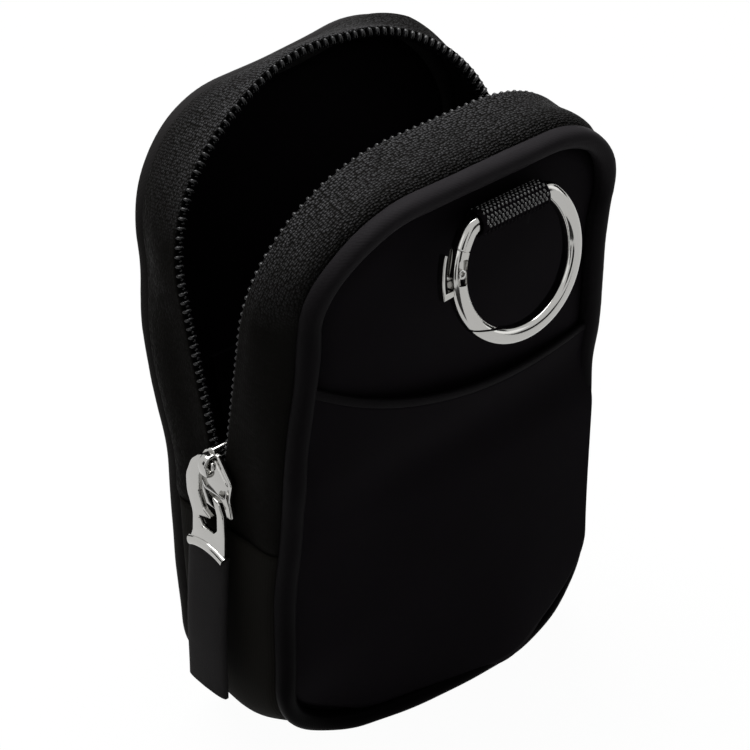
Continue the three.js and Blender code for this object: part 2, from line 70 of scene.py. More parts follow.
# %% Driving sizes and the lean of the two halves
MM = 0.001
joints = {joint["name"]: joint for joint in frame["joints"]}
HINGE_Z = joints["front_mouth"]["pos_m"][2]
LEAN = math.radians(-joints["front_mouth"]["range_deg"][0])
FRONT, REAR = -1, 1
PANEL_W, PANEL_H = 88 * MM, 146 * MM
TOP_R, LOW_R = 33 * MM, 24 * MM
FACE_Y = 18.5 * MM
STRIP_DEPTH = 14.9 * MM
BEND_LOW, BEND_HIGH = HINGE_Z - 12 * MM, HINGE_Z + 12 * MM


def ease(t):
    """Runs from 0 to 1 with soft ends."""
    t = np.clip(t, 0.0, 1.0)
    return t * t * (3 - 2 * t)


SLACK = (
    ((-33, 4), (17, 20), (0, 3.3, 2.0)),
    ((14, 0), (20, 22), (0, -1.7, 0)),
    ((-44, 73), (24, 20), (2.2, -3.3, 0)),
    ((-42, 124), (20, 15), (-1.8, 1.3, 0)),
)


def slack(points):
    """Small smooth shifts of the front face: place (x, z), reach (x, z) and shift, in millimetres."""
    p = np.array(points, float)
    near_front = ease(-p[..., 1] / STRIP_DEPTH)
    for (x, z), (wide, high), shift in SLACK:
        away = ((p[..., 0] / MM - x) / wide) ** 2 + ((p[..., 2] / MM - z) / high) ** 2
        p = p + (np.exp(-away) * near_front)[..., None] * (np.array(shift) * MM)
    return p


def leaned(points, side):
    """Points of the closed pouch, moved to where the open half carries them."""
    p = slack(points)
    angle = -side * LEAN * ease((p[..., 2] - BEND_LOW) / (BEND_HIGH - BEND_LOW))
    rise = p[..., 2] - HINGE_Z
    y = p[..., 1] * np.cos(angle) - rise * np.sin(angle)
    z = HINGE_Z + p[..., 1] * np.sin(angle) + rise * np.cos(angle)
    return np.stack([p[..., 0], y, z], -1)


def bend_with(piece):
    """Bakes the piece's place into its mesh."""
    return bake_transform(piece)


print("lean of each half", round(math.degrees(LEAN), 1), "degrees about z =", HINGE_Z)

# %% [markdown]
# Most of the pouch follows one line, the outline of a face: rims, tapes, zip and gusset all run along
# it. One function walks that line and gives places and outward directions, so that each strip only has to
# say what its section looks like.

# %% Walk along the outline of a face


def walk(corners, step):
    """Stations (x, z, outward x, outward z) along straight runs and quarter turns."""
    rows = []
    for kind, a, b in corners:
        if kind == "run":
            count = max(2, round(math.dist(a[:2], b[:2]) / step))
            for k in range(count):
                t = k / count
                rows.append([a[0] + t * (b[0] - a[0]), a[1] + t * (b[1] - a[1]), a[2], a[3]])
        else:
            (cx, cz, radius), (start, turn) = a, b
            count = max(6, round(abs(turn) * radius / step))
            for k in range(count):
                angle = start + turn * k / count
                nx, nz = math.cos(angle), math.sin(angle)
                rows.append([cx + radius * nx, cz + radius * nz, nx, nz])
    return np.array(rows)


SIDE_X = PANEL_W / 2
TOP_X, LOW_X = SIDE_X - TOP_R, SIDE_X - LOW_R
TURN_TOP = PANEL_H - TOP_R
QUARTER = math.pi / 2
LEFT_UP = lambda low, high: ("run", (-SIDE_X, low, -1, 0), (-SIDE_X, high, -1, 0))
RIGHT_DOWN = lambda high, low: ("run", (SIDE_X, high, 1, 0), (SIDE_X, low, 1, 0))
OVER = [
    ("turn", (-TOP_X, TURN_TOP, TOP_R), (math.pi, -QUARTER)),
    ("run", (-TOP_X, PANEL_H, 0, 1), (TOP_X, PANEL_H, 0, 1)),
    ("turn", (TOP_X, TURN_TOP, TOP_R), (QUARTER, -QUARTER)),
]
UNDER = [
    ("turn", (LOW_X, LOW_R, LOW_R), (0, -QUARTER)),
    ("run", (LOW_X, 0, 0, -1), (-LOW_X, 0, 0, -1)),
    ("turn", (-LOW_X, LOW_R, LOW_R), (-QUARTER, -QUARTER)),
]


def whole_outline(step):
    """Once round the face, from the foot of the left side."""
    return walk([LEFT_UP(LOW_R, TURN_TOP), *OVER, RIGHT_DOWN(TURN_TOP, LOW_R), *UNDER], step)


def over_the_top(low, step):
    """From the left side at height low, over the top, to the right side at the same height."""
    rows = walk([LEFT_UP(low, TURN_TOP), *OVER, RIGHT_DOWN(TURN_TOP, low)], step)
    return np.vstack([rows, [SIDE_X, low, 1, 0]])


def under_the_bottom(high, step):
    """From the right side at height high, under the bottom, to the left side."""
    rows = walk([RIGHT_DOWN(high, LOW_R), *UNDER, LEFT_UP(LOW_R, high)], step)
    return np.vstack([rows, [-SIDE_X, high, -1, 0]])


def run_length(points, closed=False):
    """Length along a row of points, in millimetres."""
    p = np.asarray(points, float)
    steps = np.linalg.norm(np.diff(p, axis=0), axis=1)
    total = np.concatenate([[0], np.cumsum(steps)])
    if closed:
        total = np.append(total, total[-1] + np.linalg.norm(p[0] - p[-1]))
    return total / MM


def offset_grid(stations, section):
    """Section points (outward offset, depth) set at every station: rows along, columns round."""
    s = np.asarray(stations)[:, None, :]
    sec = np.asarray(section)
    if sec.ndim == 2:
        sec = np.broadcast_to(sec[None], (len(stations), *sec.shape))
    n, y = sec[..., 0], sec[..., 1]
    return np.stack([s[..., 0] + n * s[..., 2], y + 0 * n, s[..., 1] + n * s[..., 3]], -1)


# %% [markdown]
# The rims of the open pouch pull away from that plain outline: they swell a little beside the slider and
# draw in towards the top, with tighter corners. The rear rim stands out again towards its right corner
# and, a little, at two heights on the left. The zip's edge stays on the plain line. So each rim has a line
# of its own, and a strip between the two takes a share of the shift that grows with its depth.

# %% Shift of the rims

RIM_FIT = {FRONT: (39.4, 22.5, 1.4, 74), REAR: (41.4, 27.5, 1.0, 88)}
REAR_FULL = ((104, 11, 1.1), (40, 24, 0.8))
REAR_CORNER = {"stand": 3.7 * MM, "from_x": -14 * MM, "over_x": 44 * MM, "from_z": 95 * MM, "over_z": 32 * MM}
REAR_LEFT = 40 * MM
RIM_SEARCH = 8 * MM
SHARE_FROM, SHARE_OVER = 4 * MM, 10 * MM


def rim_line(side):
    """Line of one rim: half its width at the top, its corner radius, its swell and that height, in mm."""
    half, radius, swell, height = RIM_FIT[side]
    turn, low = PANEL_H / MM - radius, LOW_R / MM
    z = np.linspace(low, turn, 300)
    out = swell * ease((z - low) / (height - low))
    out = out + (half - SIDE_X / MM - swell) * ease((z - height) / (turn - height))
    side_run = np.column_stack([SIDE_X / MM + out, z])
    angle = np.linspace(0, QUARTER, 120)
    corner = np.column_stack([half - radius + radius * np.cos(angle), turn + radius * np.sin(angle)])
    top = np.column_stack([np.linspace(half - radius, 0, 60), np.full(60, PANEL_H / MM)])
    angle = np.linspace(-QUARTER, 0, 120)
    under = np.column_stack([LOW_X / MM + low * np.cos(angle), low + low * np.sin(angle)])
    floor = np.column_stack([np.linspace(0, LOW_X / MM, 60), np.zeros(60)])
    right = np.vstack([floor, under, side_run, corner, top]) * MM
    return np.vstack([right, right * (-1, 1)])


def rim_shift(stations, side):
    """How far the rim's line stands out of the plain outline at each station."""
    s = np.asarray(stations)
    gap = rim_line(side)[None] - s[:, None, :2]
    out = (gap * s[:, None, 2:]).sum(axis=2)
    aside = np.abs(gap[..., 0] * s[:, None, 3] - gap[..., 1] * s[:, None, 2])
    aside[np.abs(out) > RIM_SEARCH] = 1
    shift = out[np.arange(len(s)), aside.argmin(axis=1)]
    if side == REAR:
        to_right = np.clip((s[:, 0] - REAR_CORNER["from_x"]) / REAR_CORNER["over_x"], 0, 1)
        to_top = ease((s[:, 1] - REAR_CORNER["from_z"]) / REAR_CORNER["over_z"])
        shift = shift + REAR_CORNER["stand"] * to_right**2 * to_top
        for height, reach, full in REAR_FULL:
            near = np.exp(-(((s[:, 1] / MM - height) / reach) ** 2))
            shift = shift + full * MM * near * ease(-s[:, 0] / REAR_LEFT)
    return shift


def shift_share(depth):
    """Share of the rim's shift at a depth from the zip's middle."""
    return ease((np.abs(depth) - SHARE_FROM) / SHARE_OVER)


print("outline length", round(run_length(whole_outline(MM)[:, :2], True)[-1], 1), "mm")

# %% [markdown]
# A mesh needs three things here: points, faces that look outwards, and a UV map that runs in millimetres
# along and across the piece, so that a weave keeps its real pitch on every strip. These helpers give every
# piece the first two, and every strip the third.

# %% Mesh helpers


def linked(name, data):
    """An object in the scene for a mesh, a curve, a light or a camera."""
    made = bpy.data.objects.new(name, data)
    bpy.context.scene.collection.objects.link(made)
    return made


def baked_mesh(piece):
    """The piece as a plain mesh, with its curve or its modifiers worked out."""
    graph = bpy.context.evaluated_depsgraph_get()
    return bpy.data.meshes.new_from_object(piece.evaluated_get(graph))


def unit(rows):
    """Rows of vectors, brought to length 1."""
    return rows / np.linalg.norm(rows, axis=1)[:, None]


def directions(points):
    """Unit directions along a row of points."""
    return unit(np.gradient(np.asarray(points, float), axis=0))


def add_piece(name, points, faces, finish, uv=None, sharp=None):
    """A mesh object at the origin. uv holds one (u, v) in millimetres for each face corner."""
    mesh = bpy.data.meshes.new(name)
    mesh.from_pydata([tuple(p) for p in points], [], [tuple(f) for f in faces])
    if uv is not None:
        layer = mesh.uv_layers.new(name="Cloth")
        layer.data.foreach_set("uv", np.asarray(uv, np.float32).ravel())
    build = bmesh.new()
    build.from_mesh(mesh)
    bmesh.ops.recalc_face_normals(build, faces=build.faces)
    build.to_mesh(mesh)
    build.free()
    mesh.polygons.foreach_set("use_smooth", [True] * len(mesh.polygons))
    if sharp is not None:
        mesh.set_sharp_from_angle(angle=math.radians(sharp))
    mesh.materials.append(finish)
    return linked(name, mesh)


def swept(name, grid, finish, closed=False, sharp=None):
    """A closed skin through rows of equal sections. grid is rows x section points x 3."""
    grid = np.asarray(grid, float)
    rows, count = grid.shape[:2]
    along = run_length(grid[:, 0], closed)
    round_it = run_length(grid[rows // 2], True)
    faces, uv = [], []
    for r in range(rows if closed else rows - 1):
        nxt = (r + 1) % rows
        for k in range(count):
            j = (k + 1) % count
            faces.append((r * count + k, r * count + j, nxt * count + j, nxt * count + k))
            uv += [(along[r], round_it[k]), (along[r], round_it[k + 1])]
            uv += [(along[r + 1], round_it[k + 1]), (along[r + 1], round_it[k])]
    if not closed:
        for row in (0, rows - 1):
            faces.append(tuple(row * count + k for k in range(count)))
            uv += [(along[row], round_it[k]) for k in range(count)]
    return add_piece(name, grid.reshape(-1, 3), faces, finish, uv, sharp)


# %% [markdown]
# Strips differ only in their section and their line. A section between an oval and a box suits rolled cloth
# and worn castings alike: a power or two says how square it is. A sheet is a grid of points with a second
# layer behind it, joined round the edge, so that it has the thickness of real cloth.

# %% Sections and sheets


def full_turn(sides):
    """Angles of one turn in equal steps."""
    return [2 * math.pi * k / sides for k in range(sides)]


def soft_section(turns, wide, tall, wide_power, tall_power=None):
    """Section points between an oval and a box: half sizes, and powers that make it squarer below 1."""
    points = []
    for turn in turns:
        c, s = math.cos(turn), math.sin(turn)
        across = wide * math.copysign(abs(c) ** wide_power, c)
        points.append((across, tall * math.copysign(abs(s) ** (tall_power or wide_power), s)))
    return points


def sheet_faces(rows, cols):
    """Faces of a grid of points, and the points of its edge in order."""
    at = lambda r, c: r * cols + c
    cells = [(r, c) for r in range(rows - 1) for c in range(cols - 1)]
    faces = [(at(r, c), at(r, c + 1), at(r + 1, c + 1), at(r + 1, c)) for r, c in cells]
    edge = [at(0, c) for c in range(cols)] + [at(r, cols - 1) for r in range(1, rows)]
    edge += [at(rows - 1, c) for c in range(cols - 2, -1, -1)] + [at(r, 0) for r in range(rows - 2, 0, -1)]
    return faces, edge


def two_layers(faces, edge, count):
    """Faces of a sheet with a second layer of points behind the first, joined round the edge."""
    shell = faces + [tuple(count + v for v in face) for face in faces]
    return shell + [(a, b, count + b, count + a) for a, b in zip(edge, edge[1:] + edge[:1])]


# %% [markdown]
# Small hardware is cast flat. Its outline has rounded corners, and a filled curve with a bevel gives it soft
# edges, which a plain extrusion lacks. A placing function then sets the plate on the pouch, and the plates
# of one casting are merged into one piece.

# %% Plates and castings


def rounded(corners, steps=8):
    """Polygon corners (a, b, radius) with each corner drawn as an arc."""
    points = []
    count = len(corners)
    for i, (a, b, radius) in enumerate(corners):
        here = Vector((a, b))
        before = (Vector(corners[i - 1][:2]) - here).normalized()
        after = (Vector(corners[(i + 1) % count][:2]) - here).normalized()
        spread = before.angle(after)
        if radius <= 0 or spread > math.radians(178):
            points.append(tuple(here))
            continue
        reach = radius / math.tan(spread / 2)
        centre = here + (before + after).normalized() * radius / math.sin(spread / 2)
        first, last = here + before * reach - centre, here + after * reach - centre
        swing = first.angle_signed(last)
        for k in range(steps + 1):
            turn = -swing * k / steps
            x = first.x * math.cos(turn) - first.y * math.sin(turn)
            y = first.x * math.sin(turn) + first.y * math.cos(turn)
            points.append((centre.x + x, centre.y + y))
    return points


WELD = 0.005 * MM


def plate(name, outline, thickness, edge, place, finish, sharp=40):
    """A flat plate with soft edges, drawn as a filled curve, then set in place by a function."""
    curve = bpy.data.curves.new(name + "_outline", "CURVE")
    curve.dimensions = "2D"
    curve.fill_mode = "BOTH"
    curve.extrude = thickness / 2 - edge
    curve.bevel_depth = edge
    curve.bevel_resolution = 3
    curve.offset = -edge
    spline = curve.splines.new("POLY")
    spline.points.add(len(outline) - 1)
    for point, (a, b) in zip(spline.points, outline):
        point.co = (a, b, 0, 1)
    spline.use_cyclic_u = True
    drawn = linked(name + "_drawn", curve)
    flat = baked_mesh(drawn)
    bpy.data.objects.remove(drawn)
    build = bmesh.new()
    build.from_mesh(flat)
    bmesh.ops.remove_doubles(build, verts=build.verts, dist=WELD)
    points = [place(*v.co) for v in build.verts]
    build.verts.index_update()
    faces = [[v.index for v in face.verts] for face in build.faces]
    build.free()
    bpy.data.meshes.remove(flat)
    return add_piece(name, points, faces, finish, sharp=sharp)


def merged(name, *pieces):
    """Several meshes of one finish as one piece."""
    build = bmesh.new()
    for piece in pieces:
        build.from_mesh(piece.data)
    mesh = bpy.data.meshes.new(name)
    build.to_mesh(mesh)
    build.free()
    mesh.materials.append(pieces[0].data.materials[0])
    whole = linked(name, mesh)
    for piece in pieces:
        bpy.data.objects.remove(piece)
    return whole


# %% [markdown]
# Stitches, zip teeth and yarns repeat along a line or over a surface. Two Geometry Nodes trees set
# them out. Both put an oval copy on points that carry two directions, along and up. The first tree walks
# a line at a pitch, the second takes the points as they are. The size of each copy varies a little by
# chance, with a fixed seed, because no two stitches or yarns are quite the same.

# %% Geometry Nodes trees for copies on a line and on points


def copies_tree(name, walks_line):
    """A tree that sets an oval on every point, turned by the two directions that the point carries."""
    tree = bpy.data.node_groups.new(name, "GeometryNodeTree")
    face = tree.interface
    face.new_socket("Geometry", in_out="INPUT", socket_type="NodeSocketGeometry")
    for label in ("Pitch", "Length", "Width", "Height", "Jitter"):
        face.new_socket(label, in_out="INPUT", socket_type="NodeSocketFloat")
    face.new_socket("Seed", in_out="INPUT", socket_type="NodeSocketInt")
    face.new_socket("Finish", in_out="INPUT", socket_type="NodeSocketMaterial")
    face.new_socket("Geometry", in_out="OUTPUT", socket_type="NodeSocketGeometry")
    add = tree.nodes.new
    link = tree.links.new
    start, end = add("NodeGroupInput"), add("NodeGroupOutput")
    source = start.outputs["Geometry"]
    if walks_line:
        to_curve, resample = add("GeometryNodeMeshToCurve"), add("GeometryNodeResampleCurve")
        resample.mode = "LENGTH"
        link(source, to_curve.inputs["Mesh"])
        link(to_curve.outputs["Curve"], resample.inputs["Curve"])
        link(start.outputs["Pitch"], resample.inputs["Length"])
        source = resample.outputs["Curve"]
    oval = add("GeometryNodeMeshUVSphere")
    oval.inputs["Segments"].default_value = 8
    oval.inputs["Rings"].default_value = 5
    oval.inputs["Radius"].default_value = 0.5
    size = add("ShaderNodeCombineXYZ")
    for label, axis in (("Length", "X"), ("Width", "Y"), ("Height", "Z")):
        link(start.outputs[label], size.inputs[axis])
    turn = None
    for label, axis in (("up", "Z"), ("along", "X")):
        read, align = add("GeometryNodeInputNamedAttribute"), add("FunctionNodeAlignRotationToVector")
        read.data_type = "FLOAT_VECTOR"
        read.inputs["Name"].default_value = label
        align.axis = axis
        align.pivot_axis = "AUTO" if turn is None else "Z"
        link(read.outputs["Attribute"], align.inputs["Vector"])
        if turn is not None:
            link(turn, align.inputs["Rotation"])
        turn = align.outputs["Rotation"]
    chance, grow = add("FunctionNodeRandomValue"), add("ShaderNodeVectorMath")
    chance.data_type = "FLOAT_VECTOR"
    chance.inputs["Min"].default_value = (-1, -1, -1)
    chance.inputs["Max"].default_value = (1, 1, 1)
    link(start.outputs["Seed"], chance.inputs["Seed"])
    grow.operation = "SCALE"
    link(chance.outputs["Value"], grow.inputs["Vector"])
    link(start.outputs["Jitter"], grow.inputs["Scale"])
    around, vary = add("ShaderNodeVectorMath"), add("ShaderNodeVectorMath")
    around.operation, vary.operation = "ADD", "MULTIPLY"
    around.inputs[1].default_value = (1, 1, 1)
    link(grow.outputs["Vector"], around.inputs[0])
    link(around.outputs["Vector"], vary.inputs[0])
    link(size.outputs["Vector"], vary.inputs[1])
    put = add("GeometryNodeInstanceOnPoints")
    link(source, put.inputs["Points"])
    link(oval.outputs["Mesh"], put.inputs["Instance"])
    link(turn, put.inputs["Rotation"])
    link(vary.outputs["Vector"], put.inputs["Scale"])
    real, smooth = add("GeometryNodeRealizeInstances"), add("GeometryNodeSetShadeSmooth")
    paint = add("GeometryNodeSetMaterial")
    link(put.outputs["Instances"], real.inputs["Geometry"])
    link(real.outputs["Geometry"], smooth.inputs["Geometry"])
    link(smooth.outputs["Geometry"], paint.inputs["Geometry"])
    link(start.outputs["Finish"], paint.inputs["Material"])
    link(paint.outputs["Geometry"], end.inputs["Geometry"])
    return tree


LINE_TREE = copies_tree("copies along a line", True)
POINT_TREE = copies_tree("copies on points", False)


def copies(name, tree, points, along, up, finish, size, pitch=MM, jitter=0.04, seed=7):
    """Bakes a tree of ovals into a plain mesh. size is length, width and height."""
    mesh = bpy.data.meshes.new(name + "_points")
    edges = [(k, k + 1) for k in range(len(points) - 1)] if tree is LINE_TREE else []
    mesh.from_pydata([tuple(p) for p in points], edges, [])
    for label, values in (("along", along), ("up", up)):
        layer = mesh.attributes.new(label, "FLOAT_VECTOR", "POINT")
        layer.data.foreach_set("vector", np.asarray(values, np.float32).ravel())
    holder = linked(name + "_holder", mesh)
    modifier = holder.modifiers.new("copies", "NODES")
    modifier.node_group = tree
    sockets = {s.name: s.identifier for s in tree.interface.items_tree if s.in_out == "INPUT"}
    settings = {"Pitch": pitch, "Length": size[0], "Width": size[1], "Height": size[2]}
    settings |= {"Jitter": jitter, "Seed": seed, "Finish": finish}
    for label, value in settings.items():
        modifier[sockets[label]] = value
    baked = baked_mesh(holder)
    baked.name = name
    holder.modifiers.remove(modifier)
    bpy.data.objects.remove(holder)
    for label in ("along", "up"):
        if label in baked.attributes:
            baked.attributes.remove(baked.attributes[label])
    baked.materials.clear()
    baked.materials.append(finish)
    baked.polygons.foreach_set("material_index", [0] * len(baked.polygons))
    return linked(name, baked)


# %% [markdown]
# Eight kinds of finish cover the pouch: smooth panel cloth, ribbed gusset cloth, satin rim cloth, pebbled zip
# tape, nylon coil, coarse webbing, close ribbon and polished metal. Colour alone would leave black on black,
# so each cloth gets its own bump at its real scale. Strips read their UV map in millimetres, flat faces read
# Object coordinates, and plain values sit on the shader itself. Rim and tape are each made twice: the rear
# rim is paler than the front one, and the rear tape is smooth further up, where its painted glint also starts
# higher, which paints it darker than the front tape.

# %% Nodes that the finishes share


def finish_base(name, colour, roughness, specular, metallic=0.0):
    """A material with plain values, its node tree and its shader."""
    made = bpy.data.materials.new(name)
    made.use_nodes = True
    shader = made.node_tree.nodes["Principled BSDF"]
    shader.inputs["Base Color"].default_value = (*colour, 1)
    shader.inputs["Roughness"].default_value = roughness
    shader.inputs["Specular IOR Level"].default_value = specular
    shader.inputs["Metallic"].default_value = metallic
    return made, made.node_tree, shader


def node_of(tree, kind, values, sources):
    """A shader node with plain values on some of its inputs and links into others."""
    node = tree.nodes.new(kind)
    for label, value in values.items():
        node.inputs[label].default_value = value
    for label, source in sources.items():
        tree.links.new(source, node.inputs[label])
    return node


def coordinate(tree, kind, scale):
    """Coordinates of the piece, scaled so that 1 is one repeat of the pattern."""
    source = tree.nodes.new("ShaderNodeTexCoord").outputs[kind]
    return node_of(tree, "ShaderNodeMapping", {"Scale": scale}, {"Vector": source}).outputs["Vector"]


def noise_at(tree, vector, detail=2.0, rough=0.5):
    """Cloudy noise from 0 to 1."""
    values = {"Scale": 1.0, "Detail": detail, "Roughness": rough}
    return node_of(tree, "ShaderNodeTexNoise", values, {"Vector": vector}).outputs["Fac"]


def pebbles_at(tree, vector, chance):
    """Cells on a flat grid, moved about by chance: the distance to each middle, and a colour each."""
    node = tree.nodes.new("ShaderNodeTexVoronoi")
    node.voronoi_dimensions = "2D"
    node.feature = "F1"
    node.inputs["Scale"].default_value = 1.0
    node.inputs["Randomness"].default_value = chance
    tree.links.new(vector, node.inputs["Vector"])
    return node


def ranged(tree, value, low, high, from_low=0.0, from_high=1.0):
    """A value carried from one range over to another."""
    values = {"From Min": from_low, "From Max": from_high, "To Min": low, "To Max": high}
    return node_of(tree, "ShaderNodeMapRange", values, {"Value": value}).outputs["Result"]


def bump(tree, shader, height, distance, strength=1.0, under=None):
    """Raised texture on the shader, on top of another bump where one is given."""
    values = {"Strength": strength, "Distance": distance}
    node = node_of(tree, "ShaderNodeBump", values, {"Height": height})
    if under is not None:
        tree.links.new(under, node.inputs["Normal"])
    tree.links.new(node.outputs["Normal"], shader.inputs["Normal"])
    return node.outputs["Normal"]


def place_share(tree, kind, axis, low, high):
    """0 before low, 1 past high, along one axis of the piece's coordinates."""
    place = tree.nodes.new("ShaderNodeSeparateXYZ")
    tree.links.new(coordinate(tree, kind, (1, 1, 1)), place.inputs["Vector"])
    return ranged(tree, place.outputs[axis], 0.0, 1.0, low, high)


def height_share(tree, low, high):
    """The same by height, in metres."""
    return place_share(tree, "Object", "Z", low, high)


def across_share(tree, low, high):
    """The same across a strip, in millimetres from its first edge."""
    return place_share(tree, "UV", "Y", low, high)


def two_tone(tree, shader, factor, dark, light):
    """Base colour between two tones."""
    node = tree.nodes.new("ShaderNodeMix")
    node.data_type = "RGBA"
    node.inputs["A"].default_value = (*dark, 1)
    node.inputs["B"].default_value = (*light, 1)
    tree.links.new(factor, node.inputs["Factor"])
    tree.links.new(node.outputs["Result"], shader.inputs["Base Color"])


def waves(tree, vector, axis):
    """Ribs across one axis, one rib for each whole number."""
    node = tree.nodes.new("ShaderNodeTexWave")
    node.wave_type = "BANDS"
    node.bands_direction = axis
    node.inputs["Scale"].default_value = math.pi / 10
    tree.links.new(vector, node.inputs["Vector"])
    return node.outputs["Fac"]


def product(tree, first, second, operation="MULTIPLY"):
    """Two values multiplied, or joined by another operation."""
    node = tree.nodes.new("ShaderNodeMath")
    node.operation = operation
    tree.links.new(first, node.inputs[0])
    tree.links.new(second, node.inputs[1])
    return node.outputs["Value"]


# %% [markdown]
# Faces and gusset are a smooth black knit. A fine noise gives the grain and a slow one a change of tone. A
# picture could do this too, but noise has no seams and keeps its scale on every piece.

# %% Panel and gusset cloth


def panel_finish():
    """Smooth knit: a fine grain, a slow change of tone and almost no shine."""
    made, tree, shader = finish_base("panel_cloth", (0.0034, 0.003, 0.0036), 0.7, 0.012)
    slow = noise_at(tree, coordinate(tree, "Object", (60, 60, 60)))
    grain = noise_at(tree, coordinate(tree, "Object", (2600, 2600, 2600)), 3.0, 0.6)
    two_tone(tree, shader, slow, (0.0027, 0.0021, 0.0028), (0.004, 0.0033, 0.0042))
    tree.links.new(ranged(tree, grain, 0.6, 0.8), shader.inputs["Roughness"])
    bump(tree, shader, grain, 0.05 * MM, 0.6)
    return made


def gusset_finish():
    """The gusset's cloth: as the panels', a little paler and warmer, with a fine upright rib."""
    made, tree, shader = finish_base("gusset_cloth", (0.005, 0.0046, 0.004), 0.7, 0.012)
    slow = noise_at(tree, coordinate(tree, "Object", (50, 50, 50)))
    rib = waves(tree, coordinate(tree, "UV", (1.6, 1.6, 1)), "Y")
    two_tone(tree, shader, slow, (0.0054, 0.005, 0.0042), (0.0074, 0.0069, 0.0059))
    tree.links.new(ranged(tree, rib, 0.6, 0.8), shader.inputs["Roughness"])
    bump(tree, shader, rib, 0.04 * MM, 0.5)
    return made


PANEL, GUSSET = panel_finish(), gusset_finish()
print("finishes", PANEL.name, GUSSET.name)

# %% [markdown]
# The rims are rolled from a satin twill, whose weave runs slantwise round the roll. Their colour is painted
# paler over the top, as a painted highlight where the light falls, and painted darker near the floor, as
# painted shade where they lie in their own shade, so the tone follows the height.

# %% Rim cloth


def rim_finish(name, dark, light):
    """Rolled cloth: a soft satin shine, a fine twill round the roll, painted shade low down and a painted
    highlight on top.
    """
    made, tree, shader = finish_base(name, dark, 0.4, 0.005)
    slow = noise_at(tree, coordinate(tree, "UV", (0.12, 0.3, 1)))
    twill = waves(tree, coordinate(tree, "UV", (2.2, 2.2, 1)), "DIAGONAL")
    # Painted highlight: the top of the roll is painted paler where the overhead light falls. Painted shade:
    # the roll is painted darker near the floor.
    painted_highlight = product(tree, ranged(tree, slow, 0.48, 0.8), height_share(tree, 0.118, 0.144))
    painted_light = product(tree, ranged(tree, height_share(tree, 0.012, 0.06), 0.0, 0.22), painted_highlight, "ADD")
    two_tone(tree, shader, painted_light, dark, light)
    tree.links.new(ranged(tree, slow, 0.34, 0.46), shader.inputs["Roughness"])
    bump(tree, shader, twill, 0.04 * MM, 0.5)
    return made


RIM = rim_finish("rim_cloth", (0.001, 0.0008, 0.001), (0.021, 0.0195, 0.0212))
REAR_RIM = rim_finish("rear_rim_cloth", (0.0085, 0.008, 0.0075), (0.0215, 0.0205, 0.021))
print("finishes", RIM.name, REAR_RIM.name)

# %% [markdown]
# The tape is woven in small pebbles of yarn. Cells that lie a little out of line give one pebble each, with a
# tone of its own. The pebbles carry a painted glint in their colour, which shows over the top and fades down
# the sides, where the bump fades too.

# %% Zip tape


def tape_finish(name, smooth_and_shaded_below, rough_and_glinting_above):
    """Woven tape: pebbles of yarn with a painted glint over the top, brightest by the zip, with painted shade
    in the groove and at the right end, smooth down the sides.
    """
    made, tree, shader = finish_base(name, (0.012, 0.012, 0.0122), 0.4, 0.006)
    cells = pebbles_at(tree, coordinate(tree, "UV", (1 / 0.7, 1 / 0.58, 1)), 0.6)
    tone = tree.nodes.new("ShaderNodeSeparateColor")
    tree.links.new(cells.outputs["Color"], tone.inputs["Color"])
    rough_and_glinting_part = height_share(tree, smooth_and_shaded_below, rough_and_glinting_above)
    pebble = ranged(tree, cells.outputs["Distance"], 1.0, 0.0, 0.0, 0.62)
    # The pebbles' glint is painted into the base colour: a painted highlight that is brightest by the zip's
    # edge, with painted shade in the groove beside the rim and towards the right end.
    lit = product(tree, pebble, ranged(tree, tone.outputs["Red"], 0.45, 1.35))
    painted_highlight = ranged(tree, across_share(tree, 1.5, 4.5), 1.45, 1.0)
    groove_shade = ranged(tree, across_share(tree, 8.0, 13.0), 1.0, 0.4)
    in_shade = ranged(tree, place_share(tree, "Object", "X", 0.014, 0.036), 1.0, 0.35)
    lit = product(tree, product(tree, lit, in_shade), product(tree, painted_highlight, groove_shade))
    # Painted light from above: the glint shows only over the top, where the bump is strong too.
    glint = product(tree, lit, rough_and_glinting_part)
    two_tone(tree, shader, glint, (0.0044, 0.0041, 0.0037), (0.056, 0.0555, 0.0575))
    tree.links.new(ranged(tree, tone.outputs["Green"], 0.4, 0.66), shader.inputs["Roughness"])
    fine = noise_at(tree, coordinate(tree, "UV", (6, 6, 6)), 2.0)
    under = bump(tree, shader, fine, 0.05 * MM, 0.5)
    raised = product(tree, pebble, ranged(tree, rough_and_glinting_part, 0.12, 1.0))
    bump(tree, shader, raised, 0.42 * MM, 1.0, under)
    return made


# The rear tape's painted glint starts higher, so that tape is painted darker than the front one: painted
# shade.
TAPE = {FRONT: tape_finish("zip_tape", 0.115, 0.138), REAR: tape_finish("rear_zip_tape", 0.12, 0.147)}
print("finishes", [made.name for made in TAPE.values()])

# %% [markdown]
# Coil, webbing and ribbon are all black and differ in their shine: moulded and smooth, coarse with bright
# fibres, close and dull. Each needs little more than its own roughness and a bump of the right size.

# %% Coil, webbing and ribbon


def coil_finish():
    """Moulded nylon: black, smooth and shiny, with a little dulling."""
    made, tree, shader = finish_base("zip_coil", (0.004, 0.004, 0.0045), 0.25, 0.3)
    dull = noise_at(tree, coordinate(tree, "Object", (900, 900, 900)))
    tree.links.new(ranged(tree, dull, 0.16, 0.36), shader.inputs["Roughness"])
    bump(tree, shader, dull, 0.02 * MM, 0.3)
    return made


def webbing_finish():
    """Coarse yarns of webbing: the yarns are real shapes that glint on the fold, the fibres are bump."""
    made, tree, shader = finish_base("webbing", (0.008, 0.008, 0.0083), 0.4, 0.8)
    fibre = noise_at(tree, coordinate(tree, "Object", (3500, 3500, 900)), 3.0, 0.6)
    two_tone(tree, shader, fibre, (0.0026, 0.0025, 0.0027), (0.006, 0.006, 0.0063))
    tree.links.new(ranged(tree, fibre, 0.18, 0.34), shader.inputs["Roughness"])
    bump(tree, shader, fibre, 0.06 * MM, 0.7)
    return made


